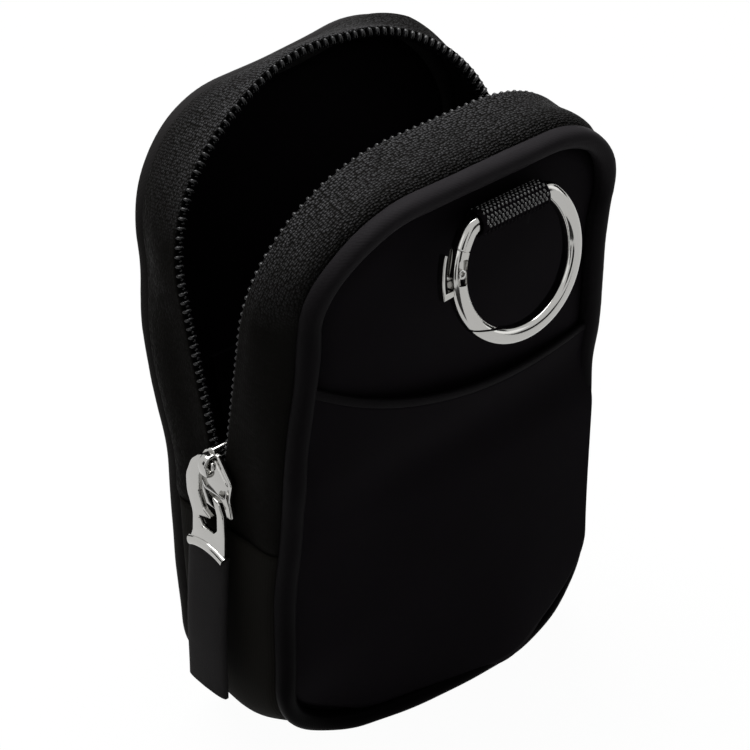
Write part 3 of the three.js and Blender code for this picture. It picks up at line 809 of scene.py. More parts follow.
def ribbon_finish():
    """Close-woven ribbon: fine ribs across and a soft charcoal tone."""
    made, tree, shader = finish_base("tab_cloth", (0.0145, 0.0135, 0.014), 0.65, 0.015)
    across = waves(tree, coordinate(tree, "UV", (2.4, 2.4, 1)), "X")
    down = waves(tree, coordinate(tree, "UV", (3.2, 3.2, 1)), "Y")
    weave = product(tree, across, down)
    slow = noise_at(tree, coordinate(tree, "UV", (0.2, 0.2, 1)))
    two_tone(tree, shader, slow, (0.0096, 0.009, 0.0092), (0.0122, 0.0115, 0.0118))
    tree.links.new(ranged(tree, weave, 0.5, 0.68), shader.inputs["Roughness"])
    bump(tree, shader, weave, 0.07 * MM, 0.6)
    return made


COIL, WEBBING, RIBBON = coil_finish(), webbing_finish(), ribbon_finish()
print("finishes", COIL.name, WEBBING.name, RIBBON.name)

# %% [markdown]
# Slider, puller and ring are polished castings. Metal shows what stands round it, so its colour stays plain,
# and faint waves and hairlines in the bump break the mirror as handling does.

# %% Polished metal


def metal_finish():
    """Polished casting: mirror bright, with faint waves and fine hairlines from handling."""
    made, tree, shader = finish_base("polished_metal", (0.42, 0.415, 0.4), 0.1, 0.5, metallic=1.0)
    slow = noise_at(tree, coordinate(tree, "Object", (320, 320, 320)), 1.0)
    hair = noise_at(tree, coordinate(tree, "Object", (5200, 700, 700)), 2.0)
    tree.links.new(ranged(tree, hair, 0.05, 0.17), shader.inputs["Roughness"])
    under = bump(tree, shader, hair, 0.004 * MM, 0.25)
    bump(tree, shader, slow, 0.05 * MM, 0.35, under)
    return made


METAL = metal_finish()
print("finish", METAL.name)

# %% [markdown]
# The imported model names a slot for every finish, and this table pairs each material with its slot.

# %% Slots of the imported model

SLOTS = {PANEL: "panel_cloth", GUSSET: "panel_cloth", RIM: "rim_cloth", REAR_RIM: "rim_cloth"}
SLOTS |= {TAPE[FRONT]: "zip_tape", TAPE[REAR]: "zip_tape", COIL: "zip_coil"}
SLOTS |= {WEBBING: "webbing", RIBBON: "tab_cloth", METAL: "polished_metal"}


def stands_for(piece, *nodes):
    """Hides the CAD nodes that the piece takes the place of."""
    if nodes:
        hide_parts(*nodes)
    return piece


print("slots", sorted(set(SLOTS.values())))

# %% [markdown]
# The two faces are thin padded panels held by the rim. Cloth over padding swells where nothing holds it,
# so each face is a sheet whose sewn border is pinned while a light pressure pushes it out in Blender's
# Cloth. The sheet is simulated ten times as large, where the solver is steady, and the swelling is then
# scaled to the height that the real padding shows.

# %% Swelling a sewn sheet

SIM_SCALE = 10
SIM_FRAMES = 20


def swollen(points, faces, sewn, side, height):
    """Sheet points pushed out along the face, at most by height, with the sewn points held."""
    points = np.asarray(points, float)
    mesh = bpy.data.meshes.new("swelling")
    mesh.from_pydata([tuple(p * SIM_SCALE) for p in points], [], faces)
    sheet = linked("swelling", mesh)
    normal = np.mean([face.normal.y for face in mesh.polygons])
    if normal * side < 0:
        mesh.flip_normals()
    group = sheet.vertex_groups.new(name="sewn")
    group.add([int(k) for k in np.flatnonzero(sewn)], 1.0, "REPLACE")
    cloth = sheet.modifiers.new("padding", "CLOTH")
    cloth.settings.quality = 5
    cloth.settings.mass = 0.15
    cloth.settings.tension_stiffness = 15
    cloth.settings.compression_stiffness = 15
    cloth.settings.bending_stiffness = 4
    cloth.settings.vertex_group_mass = "sewn"
    cloth.settings.use_pressure = True
    cloth.settings.uniform_pressure_force = 6
    cloth.settings.effector_weights.gravity = 0
    cloth.point_cache.frame_end = SIM_FRAMES
    for moment in range(1, SIM_FRAMES + 1):
        bpy.context.scene.frame_set(moment)
    graph = bpy.context.evaluated_depsgraph_get()
    result = np.array([v.co for v in sheet.evaluated_get(graph).data.vertices]) / SIM_SCALE
    bpy.data.objects.remove(sheet)
    bpy.data.meshes.remove(mesh)
    bpy.context.scene.frame_set(1)
    rise = (result - points)[:, 1] * side
    print("swelling before scaling", round(float(rise.max() / MM), 2), "mm")
    rise = np.clip(rise, 0, None) * height / max(float(rise.max()), 1e-6)
    return points + np.outer(rise, (0, side, 0))


# %% [markdown]
# A face is drawn as rings that shrink from its outline to its middle. The outermost rings dip under the
# rim, which makes the groove beside it. The swollen outer skin and a flat lining meet at the border, so
# each face is one closed pad.

# %% Front and rear faces

RIM_W = 4.2 * MM
RING_COUNT, RING_STEP = 18, 2.4 * MM
PAD_T, PAD_EDGE = 2.0 * MM, 0.5 * MM
UNDER_RIM, FACE_TUCK = 0.6 * MM, [1.4 * MM, 0.35 * MM]


def face_rings(inset, side):
    """Ring points (x, z) from the border inwards, and the middle."""
    edge = whole_outline(RING_STEP)
    border = edge[:, :2] + (rim_shift(edge, side) - inset)[:, None] * edge[:, 2:]
    middle = np.array([0, PANEL_H / 2])
    shares = [1 - (k / RING_COUNT) for k in range(RING_COUNT)]
    rings = [middle + share * (border - middle) for share in shares]
    return np.array(rings), middle


def face_pad(name, side, depth, height, nodes):
    """One face: its depth from the middle of the pouch and the height of its swelling."""
    rings, middle = face_rings(RIM_W - UNDER_RIM, side)
    count, around = rings.shape[:2]
    flat = rings.reshape(-1, 2)
    tuck = np.repeat(FACE_TUCK + [0] * (count - 2), around)
    skin = np.column_stack([flat[:, 0], side * (depth - tuck), flat[:, 1]])
    skin = np.vstack([skin, [middle[0], side * depth, middle[1]]])
    faces = []
    for r in range(count - 1):
        for k in range(around):
            j = (k + 1) % around
            faces.append((r * around + k, r * around + j, (r + 1) * around + j, (r + 1) * around + k))
    hub = count * around
    last = (count - 1) * around
    faces += [(last + k, last + (k + 1) % around, hub) for k in range(around)]
    sewn = np.arange(hub + 1) < 2 * around
    outer = swollen(skin, faces, sewn, side, height)
    lining = skin.copy()
    lining[:, 1] = side * (depth - PAD_T)
    lining[:around, 1] = skin[:around, 1] - side * PAD_EDGE
    total = hub + 1
    shell = two_layers(faces, list(range(around)), total)
    pad = add_piece(name, leaned(np.vstack([outer, lining]), side), shell, PANEL)
    stands_for(pad, *nodes)
    return bend_with(pad)


front_face = face_pad("front_face", FRONT, 16.5 * MM, 0.7 * MM, ["front_panel_upper", "front_panel_lower"])
rear_face = face_pad("rear_face", REAR, 17.3 * MM, 2.2 * MM, ["rear_panel_upper", "rear_panel_lower"])
print("face pads", [len(face.data.polygons) for face in (front_face, rear_face)], "faces")

# %% [markdown]
# Each face is edged with a roll of cloth. A sweep of one soft section round the whole outline makes it in
# one piece, with no joint where the real one has none. A little noise along the way keeps it from
# looking extruded.

# %% Rolled rims

RIM_D = 4.4 * MM
RIM_IN = {FRONT: 0.25 * MM, REAR: 0.7 * MM}
RIM_SIDES, RIM_POWER, RIM_STEP = 26, 0.82, 1.5 * MM
RIM_PROUD, RIM_WOBBLE = 0.2 * MM, 0.16 * MM


def rim_roll(name, side, nodes, finish):
    """The roll round one face, along that rim's own line."""
    stations = whole_outline(RIM_STEP)
    rows = []
    middle_y = side * (FACE_Y + RIM_PROUD - RIM_D / 2)
    for (x, z, _, _), shift in zip(stations, rim_shift(stations, side)):
        wobble = noise.noise(Vector((x * 90, side * 3.0, z * 90))) * RIM_WOBBLE
        section = soft_section(full_turn(RIM_SIDES), RIM_W / 2 + wobble, RIM_D / 2 + wobble, RIM_POWER)
        middle = shift - RIM_IN[side] - RIM_W / 2
        rows.append([(middle + out, middle_y + deep) for out, deep in section])
    grid = offset_grid(stations, np.array(rows))
    roll = swept(name, leaned(grid, side), finish, closed=True)
    stands_for(roll, *nodes)
    return bend_with(roll)


front_rim = rim_roll("front_rim", FRONT, ["front_rim_upper", "front_rim_lower"], RIM)
rear_rim = rim_roll("rear_rim", REAR, ["rear_rim_upper", "rear_rim_lower"], REAR_RIM)
print("rims", [len(rim.data.polygons) for rim in (front_rim, rear_rim)], "faces")

# %% [markdown]
# The front slip pocket is a second layer of cloth, sewn in with the rim at the sides and the bottom and
# free along its slanting mouth. At the lower right it laps over the rim, so that no groove shows there.
# The same swelling lets the free mouth stand off the face by itself. Columns run from the bottom seam up
# to the mouth, so the top row is the mouth line and the hem can be swept along it.

# %% Front slip pocket

POCKET_LOW_X, POCKET_LOW_Z = 30 * MM, 85 * MM
POCKET_RISE, POCKET_SPAN = 20.5 * MM, 67 * MM
POCKET_T = 0.9 * MM
POCKET_Y = 17.4 * MM
POCKET_GAPE = 2.6 * MM
POCKET_TUCK = 0.7 * MM
LAP_PROUD, LAP_FROM, LAP_OVER = 1.5 * MM, -18 * MM, 44 * MM
TUCK_FROM, TUCK_OVER = 58 * MM, 22 * MM
HEM_ROOM = 1.2 * MM


def mouth_height(x):
    """Height of the pocket's mouth line at the place x."""
    return POCKET_LOW_Z + POCKET_RISE * ((POCKET_LOW_X - x) / POCKET_SPAN) ** 2


def bottom_height(x, inset):
    """Height of the inset outline under the place x."""
    reach = np.minimum(np.clip(np.abs(x) - LOW_X, 0, None), LOW_R - inset)
    return LOW_R - np.sqrt((LOW_R - inset) ** 2 - reach**2)


POCKET_INSET, POCKET_LAP = RIM_W - 0.4 * MM, 2.6 * MM
pocket_half = PANEL_W / 2 - POCKET_INSET + POCKET_LAP / 2
pocket_cols, pocket_rows = 57, 49
pocket_x = POCKET_LAP / 2 + pocket_half * np.sin(np.linspace(-QUARTER, QUARTER, pocket_cols))
lap = ease((pocket_x - LAP_FROM) / LAP_OVER)
pocket_bottom = bottom_height(pocket_x, POCKET_INSET - POCKET_LAP * lap)
pocket_z = np.linspace(pocket_bottom, mouth_height(pocket_x) - HEM_ROOM, pocket_rows)
heights = pocket_z.ravel()
side_rows = np.column_stack([np.full_like(heights, SIDE_X), heights, np.ones_like(heights), 0 * heights])
pocket_wide = 1 + (rim_shift(side_rows, FRONT) / SIDE_X).reshape(pocket_z.shape)
tucked = ease((pocket_z - TUCK_FROM) / TUCK_OVER)
pocket_wide *= np.where(pocket_x > 0, 1 - POCKET_LAP / SIDE_X * tucked, 1)
lap = lap * (1 - tucked)
pocket_deep = -POCKET_Y - LAP_PROUD * lap
pocket_grid = np.stack([pocket_x * pocket_wide, pocket_deep, pocket_z], -1)
pocket_faces, pocket_edge = sheet_faces(pocket_rows, pocket_cols)
pocket_sewn = np.zeros((pocket_rows, pocket_cols), bool)
pocket_sewn[0] = pocket_sewn[:, 0] = pocket_sewn[:, -1] = True
pocket_grid[..., 1] += np.where(pocket_sewn, POCKET_TUCK * (1 - lap), 0)
swell = swollen(pocket_grid.reshape(-1, 3), pocket_faces, pocket_sewn.ravel(), FRONT, POCKET_GAPE)
layers = np.vstack([swell, swell + (0, POCKET_T, 0)])
shell = two_layers(pocket_faces, pocket_edge, len(swell))
front_pocket = add_piece("front_pocket", leaned(layers, FRONT), shell, PANEL)
stands_for(front_pocket, "pocket_panel_upper", "pocket_panel_lower")

# %% [markdown]
# The pocket's mouth is finished with a narrow rolled hem. It is swept along the top row of the swollen
# sheet, so that it follows the cloth wherever the swelling took it.

# %% Hem of the pocket's mouth

HEM_W, HEM_T, HEM_DROP = 2.2 * MM, 1.2 * MM, 0.2 * MM
mouth = swell.reshape(pocket_rows, pocket_cols, 3)[-1][1:-1]
mouth_up = unit(np.cross(directions(mouth), (0, 1, 0)))
mouth_up *= np.sign(mouth_up[:, 2:3])
hem_section = soft_section(full_turn(16), HEM_W / 2, HEM_T / 2, 0.6, 0.8)
hem_grid = np.array(
    [
        [here + up * (high - HEM_DROP) + np.array((0, POCKET_T / 2 + deep, 0)) for high, deep in hem_section]
        for here, up in zip(mouth, mouth_up)
    ]
)
pocket_hem = swept("pocket_hem_roll", leaned(hem_grid, FRONT), RIM)
stands_for(pocket_hem, "pocket_hem")
bend_with(front_pocket)
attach(pocket_hem, "front_half")
print("hem", round(run_length(mouth)[-1], 1), "mm long")

# %% [markdown]
# The zip tape is a narrow woven band on each half. Its free edge carries the coil, its other edge dips
# into the groove beside the rim. The section is drawn once as a soft line and swept over the top. The
# rear tape stands up along the top, most near the middle, where the open mouth pulls it.

# %% Zip tapes


def soft_line(points, count):
    """A smooth line through a few points."""
    p = np.asarray(points, float)
    p = np.vstack([2 * p[0] - p[1], p, 2 * p[-1] - p[-2]])
    made = []
    for t in np.linspace(0, len(p) - 3 - 1e-9, count):
        k = int(t)
        f = t - k
        a, b, c, d = p[k : k + 4]
        bend, twist = 2 * a - 5 * b + 4 * c - d, 3 * b - a - 3 * c + d
        made.append(0.5 * (2 * b + (c - a) * f + bend * f**2 + twist * f**3))
    return np.array(made)


SEAM_Z = 60 * MM
TAPE_EDGE = 1.15 * MM
TAPE_ROOT = STRIP_DEPTH
TAPE_T = 0.8 * MM
SINK, SINK_BELOW, SINK_OVER = 0.5 * MM, 0.5 * MM, 2.5 * MM
TAPE_STAND = {FRONT: (0.5 * MM, 0, 60 * MM, 60 * MM), REAR: (5.0 * MM, -3 * MM, 15.5 * MM, 26 * MM)}
TAPE_OUTER = [(1.15, -0.30), (1.45, -0.06), (3.0, 0.02), (6.0, 0.2), (9.0, 0.45), (11.6, 0.3)]
TAPE_FOOT = {
    FRONT: [(13.2, -0.25), (14.2, -1.0), (14.9, -2.0)],
    REAR: [(13.2, 0.0), (14.2, -0.3), (14.9, -1.1)],
}
tape_run = over_the_top(SEAM_Z - 1.0 * MM, 1.2 * MM)


def tape_stand(side, stations, depth):
    """How far the tape stands out of the outline: only along the top, most at the free edge."""
    height, middle, left, right = TAPE_STAND[side]
    off = stations[:, 0] - middle
    share = np.exp(-((off / np.where(off < 0, left, right)) ** 2))
    top = (height * share * np.clip(stations[:, 3], 0, 1))[:, None]
    return top * ease((TAPE_ROOT - np.asarray(depth)[None, :]) / (TAPE_ROOT - TAPE_EDGE))


def tape_sink(stations):
    """The tape's lower ends dip under the folded edge of the gusset."""
    return -SINK * (1 - ease((stations[:, 1] - SEAM_Z + SINK_BELOW) / SINK_OVER))[:, None]


def zip_tape(name, side, node):
    """One half of the tape: its section along the outline, with its stand, its sink and the rim's shift."""
    outer = soft_line(TAPE_OUTER + TAPE_FOOT[side], 24) * MM
    inner = outer[::-1] + np.array([0, -1]) * TAPE_T
    inner[0] = outer[-1] + np.array([-0.5, -0.4]) * MM
    tape_section = np.vstack([outer, inner])
    out = tape_section[None, :, 1] + tape_stand(side, tape_run, tape_section[:, 0]) + tape_sink(tape_run)
    out = out + rim_shift(tape_run, side)[:, None] * shift_share(tape_section[None, :, 0])
    deep = np.broadcast_to(side * tape_section[None, :, 0], out.shape)
    grid = offset_grid(tape_run, np.stack([out, deep], -1))
    tape = swept(name, leaned(grid, side), TAPE[side])
    stands_for(tape, node)
    return bend_with(tape)


front_tape = zip_tape("front_tape", FRONT, "front_zip_tape")
rear_tape = zip_tape("rear_tape", REAR, "rear_zip_tape")
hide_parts("left_zip_tail", "right_zip_tail")
print("tape faces", [len(tape.data.polygons) for tape in (front_tape, rear_tape)])

# %% [markdown]
# The coil is a row of nylon loops on the inside of each tape's free edge. Each loop shows as a small
# shiny head past the edge, with a leg that lies back under the tape. Two runs of the line tree at the
# zip's real pitch give heads and legs; the rear run starts about half a pitch on, so that the teeth mesh.

# %% Zip coil

TOOTH_PITCH = 1.9 * MM
COIL_PARTS = (
    ("heads", 0.95 * MM, 1.2 * MM, (1.05 * MM, 1.7 * MM, 2.1 * MM)),
    ("legs", 2.5 * MM, 1.75 * MM, (0.95 * MM, 3.2 * MM, 1.3 * MM)),
)
COIL_START = {FRONT: 0, REAR: 2}
coil_run = over_the_top(SEAM_Z + 1.5 * MM, 0.6 * MM)


def coil_line(side, depth, sink):
    """Points along the free edge, at a depth from the middle and sunk under the tape."""
    out = tape_stand(side, coil_run, np.array([depth])) - sink
    grid = offset_grid(coil_run, np.stack([out, np.full_like(out, side * depth)], -1)).reshape(-1, 3)
    up = np.column_stack([coil_run[:, 2], np.zeros(len(coil_run)), coil_run[:, 3]])
    tip = leaned(grid + up * MM, side)
    base = leaned(grid, side)
    return base, (tip - base) / MM


def zip_coil(name, side, node):
    """One half of the coil: each part has a name, a depth, a sink and a size."""
    pieces = []
    for label, depth, sink, size in COIL_PARTS:
        line, up = [rows[COIL_START[side] :] for rows in coil_line(side, depth, sink)]
        made = copies(name + label, LINE_TREE, line, directions(line), up, COIL, size, TOOTH_PITCH, 0.05)
        pieces.append(made)
    coil = merged(name, *pieces)
    stands_for(coil, node)
    return bend_with(coil)


front_coil = zip_coil("front_coil", FRONT, "front_zip_coil")
rear_coil = zip_coil("rear_coil", REAR, "rear_zip_coil")
print("coil faces", [len(coil.data.polygons) for coil in (front_coil, rear_coil)])

# %% [markdown]
# Under the zip a plain gusset closes the sides and the bottom. It swells at the sides and most at the
# lower corners, lies flat where the pouch stands, dips into the rims' grooves, and ends at each side in
# a folded edge that is stitched over the tape.

# %% Lower gusset with its folded ends

GUSSET_T = 1.1 * MM
SIDE_SWELL, CORNER_SWELL = 0.9 * MM, 2.4 * MM
CORNER_AT, CORNER_REACH, FLAT_FROM = 0.6, 0.42, 0.75
FOLD_T, FOLD_H, FOLD_STEP = 0.1 * MM, 3.4 * MM, 0.7 * MM
gusset_run = under_the_bottom(SEAM_Z, 1.5 * MM)
half_line = soft_line([(0, 0), (5, -0.02), (9.5, -0.1), (12.2, -0.3), (13.6, -0.75), (14.9, -1.9)], 16) * MM
gusset_outer = np.vstack([half_line[::-1] * (-1, 1), half_line[1:]])
gusset_inner = gusset_outer[::-1] + np.array([0, -GUSSET_T])
gusset_section = np.vstack([gusset_outer, gusset_inner])
swell_share = np.clip(1 + gusset_run[:, 3] / FLAT_FROM, 0, 1)[:, None] ** 1.4
across = np.cos(np.clip(gusset_section[None, :, 0] / STRIP_DEPTH, -1, 1) * QUARTER) ** 0.8
fold = FOLD_T * ease((gusset_run[:, 1] - SEAM_Z + FOLD_H) / FOLD_STEP)[:, None]
corner = np.exp(-(((np.abs(gusset_run[:, 3]) - CORNER_AT) / CORNER_REACH) ** 2))[:, None]
swell = SIDE_SWELL * swell_share + CORNER_SWELL * corner * np.abs(gusset_run[:, 2:3])
gusset_deep = gusset_section[None, :, 0]
front_shift, rear_shift = rim_shift(gusset_run, FRONT)[:, None], rim_shift(gusset_run, REAR)[:, None]
shift = np.where(gusset_deep < 0, front_shift, rear_shift)
gusset_out = gusset_section[None, :, 1] + (swell + fold) * across + shift * shift_share(gusset_deep)
gusset_rows = np.stack([gusset_out, np.broadcast_to(gusset_deep, gusset_out.shape)], -1)
gusset_grid = offset_grid(gusset_run, gusset_rows)
gusset = swept("gusset", slack(gusset_grid), GUSSET)
stands_for(gusset, "lower_gusset")
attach(gusset, "base")
print("gusset", round(run_length(gusset_run[:, :2])[-1], 1), "mm from end to end")

# %% [markdown]
# Each end of the gusset is held by a row of stitches, and inside it the zip ends at a small stop. The line
# tree sets the stitches at their real pitch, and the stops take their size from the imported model.

# %% Seam stitches and zip stops

STITCH_SIZE, STITCH_PITCH = (2.0 * MM, 0.36 * MM, 0.28 * MM), 2.6 * MM
STITCH_DROP, STITCH_LIFT, STITCH_HALF = 2.3 * MM, 0.85 * MM, 12 * MM
STOP_R = 0.9 * MM
for label, sign in (("left", -1), ("right", 1)):
    y = np.linspace(-STITCH_HALF, STITCH_HALF, 40)
    lift = STITCH_LIFT * np.cos(y / STRIP_DEPTH * QUARTER) ** 0.8 + 0.02 * MM
    row = slack(np.column_stack([sign * (SIDE_X + lift), y, np.full_like(y, SEAM_Z - STITCH_DROP)]))
    up = np.tile((sign, 0, 0), (len(y), 1))
    stitches = (row, directions(row), up, RIM, STITCH_SIZE, STITCH_PITCH)
    seam = copies(label + "_seam_stitches", LINE_TREE, *stitches)
    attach(seam, "base")
    stop_low, stop_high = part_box(label + "_zip_stop")
    middle = (stop_low + stop_high) / 2
    span = stop_high - stop_low
    corners = ((-1, -1), (1, -1), (1, 1), (-1, 1))
    outline = rounded([(a * span.y / 2, b * span.z / 2, STOP_R) for a, b in corners])
    place = lambda a, b, h, m=middle: (m.x + h, m.y + a, m.z + b)
    stop = plate(label + "_stop", outline, span.x, 0.3 * MM, place, METAL)
    stands_for(stop, label + "_zip_stop")
    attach(stop, "base")
    print(label, "stop", [round(v / MM, 1) for v in span], "mm")

# %% [markdown]
# Inside the rear half sits a slip pocket with a broad hem, seen only down in the mouth. It is a sheet
# with a slack, slightly gaping mouth, and follows the rear face when it bends.

# %% Slip pocket inside the rear half

inner_low, inner_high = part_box("inner_pocket_lower")
INNER_W = inner_high.x - inner_low.x
INNER_BOTTOM = inner_low.z
INNER_TOP = 90 * MM
INNER_Y, INNER_T = 15.1 * MM, 0.8 * MM
INNER_GAPE = 1.6 * MM
INNER_HEM_T, INNER_HEM_W, INNER_HEM_EDGE = 0.45 * MM, 5.2 * MM, 0.5 * MM
inner_cols, inner_rows = 33, 25
inner_x = np.linspace(-INNER_W / 2, INNER_W / 2, inner_cols)
inner_z = np.linspace(INNER_BOTTOM, INNER_TOP, inner_rows)
gx, gz = np.meshgrid(inner_x, inner_z)
loose = ease((gz - INNER_BOTTOM) / (INNER_TOP - INNER_BOTTOM)) * np.cos(gx / INNER_W * math.pi)
face_y = INNER_Y - INNER_GAPE * loose
hem_step = INNER_HEM_T * ease((gz - INNER_TOP + INNER_HEM_W) / INNER_HEM_EDGE)
near = np.stack([gx, face_y - INNER_T - hem_step, gz], -1).reshape(-1, 3)
far = np.stack([gx, face_y, gz], -1).reshape(-1, 3)
skin = two_layers(*sheet_faces(inner_rows, inner_cols), len(near))
inner_pocket = add_piece("inner_pocket", leaned(np.vstack([near, far]), REAR), skin, PANEL, sharp=60)
stands_for(inner_pocket, "inner_pocket_upper", "inner_pocket_lower", "inner_pocket_hem")
bend_with(inner_pocket)
print("inner pocket", round(INNER_W / MM), "by", round((INNER_TOP - INNER_BOTTOM) / MM), "mm")

# %% [markdown]
# The slider is a small casting: two plates joined by a neck between the tapes, with a dome on the outer
# plate and a lug at the nose that holds the puller. Each plate is a filled curve with soft edges, set on
# the left side of the pouch by one placing function. The dome shrinks the same kind of outline in rings.

# %% Slider

slider_low, slider_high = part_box("slider_body")
PULLER_AXIS = Vector(joints["puller_flip"]["pos_m"])
TAB_AXIS = Vector(joints["tab_flex"]["pos_m"])
PLATE_T = 1.2 * MM
OUTER_PLATE_X = -SIDE_X - 0.3 * MM - PLATE_T / 2
INNER_PLATE_X = slider_high.x - PLATE_T / 2


def at_side(x):
    """Places plate points (across, up, thick) on the pouch's left side at x."""
    return lambda a, b, h: (x - h, a, b)


def in_mm(*corners):
    """Corners (a, b, radius) given in millimetres, as a rounded outline."""
    return rounded([(a * MM, b * MM, r * MM) for a, b, r in corners])


def slider_outline(shrink):
    """A plate of the slider: broad foot, waist, shoulders and a narrow nose, drawn in by shrink."""
    nose, foot = slider_high.z / MM - 0.5 - shrink, slider_low.z / MM + shrink
    wide, low, waist = 6.0 - shrink, 5.8 - shrink, 4.9 - shrink
    return in_mm(
        (-low, foot, 0.9),
        (low, foot, 0.9),
        (waist, foot + 4.6, 3.0),
        (wide, foot + 9.0, 1.6),
        (1.9, nose, 1.3),
        (-1.9, nose, 1.3),
        (-wide, foot + 9.0, 1.6),
        (-waist, foot + 4.6, 3.0),
    )


def dome(name, outline, rise, x):
    """A smooth swelling on a plate, from an outline at height x to its middle."""
    border = np.array(outline)
    middle = border.mean(axis=0)
    rows = []
    for t in np.linspace(0, QUARTER, 10)[:-1]:
        across = middle + math.cos(t) * (border - middle)
        rows.append(np.column_stack([np.full(len(border), x - rise * math.sin(t)), across]))
    return swept(name, np.array(rows), METAL, sharp=60)


foot = slider_low.z / MM
PLATE_EDGE = 0.35 * MM
outer_plate = plate("slider_outer", slider_outline(0), PLATE_T, PLATE_EDGE, at_side(OUTER_PLATE_X), METAL)
inner_plate = plate("slider_inner", slider_outline(0.3), PLATE_T, PLATE_EDGE, at_side(INNER_PLATE_X), METAL)
dome_outline = in_mm(
    (-3.6, foot + 4.2, 1.5),
    (3.2, foot + 4.0, 1.5),
    (5.0, foot + 8.6, 1.6),
    (1.0, foot + 13.2, 0.9),
    (-1.4, foot + 13.2, 0.9),
    (-5.3, foot + 8.8, 1.6),
)
slider_dome = dome("slider_dome", dome_outline, 1.15 * MM, OUTER_PLATE_X - PLATE_T / 2 + 0.1 * MM)
nose = slider_high.z / MM
neck_top, neck_low = nose + 0.5, nose - 4.6
neck_outline = in_mm((-1.3, neck_top, 1.1), (-0.5, neck_low, 0.3), (0.5, neck_low, 0.3), (1.3, neck_top, 1.1))
neck_span = INNER_PLATE_X - OUTER_PLATE_X + PLATE_T
neck_x = (INNER_PLATE_X + OUTER_PLATE_X) / 2
slider_neck = plate("slider_neck", neck_outline, neck_span, 0.25 * MM, at_side(neck_x), METAL)
print("slider plates", round(neck_span / MM, 1), "mm over both")

# %% [markdown]
# The lug is a strap bent into a small arch over the puller's bar. One helper sweeps a band with soft edges
# along any line, and makes the puller's lip and the webbing later on.

# %% Lug, and the slider as one piece


def strap(name, line, width, thick, across, finish, power=0.55, sides=16):
    """A band with soft edges along a line. across is the direction of its width."""
    line = np.asarray(line, float)
    along = directions(line)
    across = np.asarray(across, float)
    across = np.broadcast_to(across / np.linalg.norm(across), line.shape)
    lift = unit(np.cross(along, across))
    section = soft_section(full_turn(sides), width / 2, thick / 2, power)
    rows = [
        [here + side_way * wide + up * tall for wide, tall in section]
        for here, up, side_way in zip(line, lift, across)
    ]
    return swept(name, rows, finish, sharp=50)


foot_x = OUTER_PLATE_X + 0.2 * MM
arch_low = PULLER_AXIS.z - 1.9 * MM
arch_x = OUTER_PLATE_X - PLATE_T / 2 - 2.3 * MM
arch = soft_line(
    [
        (foot_x, 0, arch_low - 0.6 * MM),
        (arch_x + 0.6 * MM, 0, arch_low - 0.2 * MM),
        (arch_x, 0, arch_low + 1.0 * MM),
        (arch_x, 0, arch_low + 2.6 * MM),
        (arch_x + 0.9 * MM, 0, arch_low + 3.8 * MM),
        (foot_x, 0, arch_low + 4.1 * MM),
    ],
    30,
)
lug = strap("slider_lug", arch, 2.3 * MM, 0.9 * MM, (0, 1, 0), METAL)
slider = merged("slider", outer_plate, inner_plate, slider_dome, slider_neck, lug)
stands_for(slider, "slider_body")
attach(slider, "slider")
print("slider", [round((b - a) / MM, 1) for a, b in zip(slider_low, slider_high)], "mm")

# %% [markdown]
# The puller is a hook: a broad left arm that rolls in over the lug at its top, a short right arm that
# stops under the dome, a tooth that half closes the window, and a bowed lip that grips the cloth tab. It
# is drawn flat about its pivot and then set on the line from the puller's joint to the tab's joint.

# %% Puller

PULLER_T = 1.4 * MM
HANG_UP = (PULLER_AXIS - TAB_AXIS).normalized()
HANG_OUT = Vector((-HANG_UP.z, 0, HANG_UP.x))
PULLER_L = (PULLER_AXIS - TAB_AXIS).length


def hung(a, b, h):
    """Places points (across, up, out) on the line that the puller and the tab hang along."""
    return PULLER_AXIS + HANG_UP * b + HANG_OUT * h + Vector((0, a, 0))


def puller_place(a, b, h):
    """Rolls the top of the left arm in towards the lug."""
    roll = 0.5 * MM * float(ease((b + 5 * MM) / (6 * MM)))
    return hung(a, b, h - roll)


puller_outline = in_mm(
    (-6.0, -20.2, 0.5),
    (5.3, -20.6, 0.5),
    (4.3, -17.8, 1.6),
    (4.2, -13.2, 5.0),
    (6.2, -9.0, 6.0),
    (6.5, -5.2, 6.0),
    (5.2, -1.0, 3.6),
    (2.6, 1.5, 2.0),
    (-1.9, 1.0, 0.7),
    (-1.9, -0.8, 0.5),
    (1.2, -0.9, 1.2),
    (2.4, -3.2, 2.0),
    (2.3, -7.4, 2.0),
    (0.5, -10.8, 1.5),
    (-2.2, -12.0, 0.3),
    (2.5, -13.3, 0.5),
    (0.9, -15.3, 0.8),
    (-2.6, -15.3, 0.9),
    (-3.8, -13.9, 0.9),
    (-3.7, -10.2, 2.0),
    (-2.9, -8.2, 1.5),
    (-2.0, -6.2, 0.3),
    (-4.3, -6.9, 1.5),
    (-5.7, -9.6, 3.0),
    (-6.0, -14.8, 6.0),
)
puller_plate = plate("puller_plate", puller_outline, PULLER_T, 0.4 * MM, puller_place, METAL)
LIP_FRONT, LIP_REAR, LIP_BOW = 6.1 * MM, 5.1 * MM, 1.3 * MM
lip_y = np.linspace(-LIP_FRONT, LIP_REAR, 25)
lip_up = -PULLER_L - 0.9 * MM - 0.06 * lip_y + LIP_BOW * (1 - (lip_y / LIP_FRONT) ** 2)
lip_line = [hung(a, b, 0.1 * MM) for a, b in zip(lip_y, lip_up)]
lip = strap("puller_lip", lip_line, 2.6 * MM, 2.3 * MM, HANG_OUT, METAL, power=0.8)
puller = merged("puller", puller_plate, lip)
stands_for(puller, "slider_puller")
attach(puller, "puller")
print("puller", round(PULLER_L / MM, 1), "mm from its pivot to the tab's")

# %% [markdown]
# The pull tab is a soft ribbon, folded double and gripped by the lip. It is a band with round selvedges
# that hangs in a slight curve; the fine ribs are in its finish.

# %% Pull tab

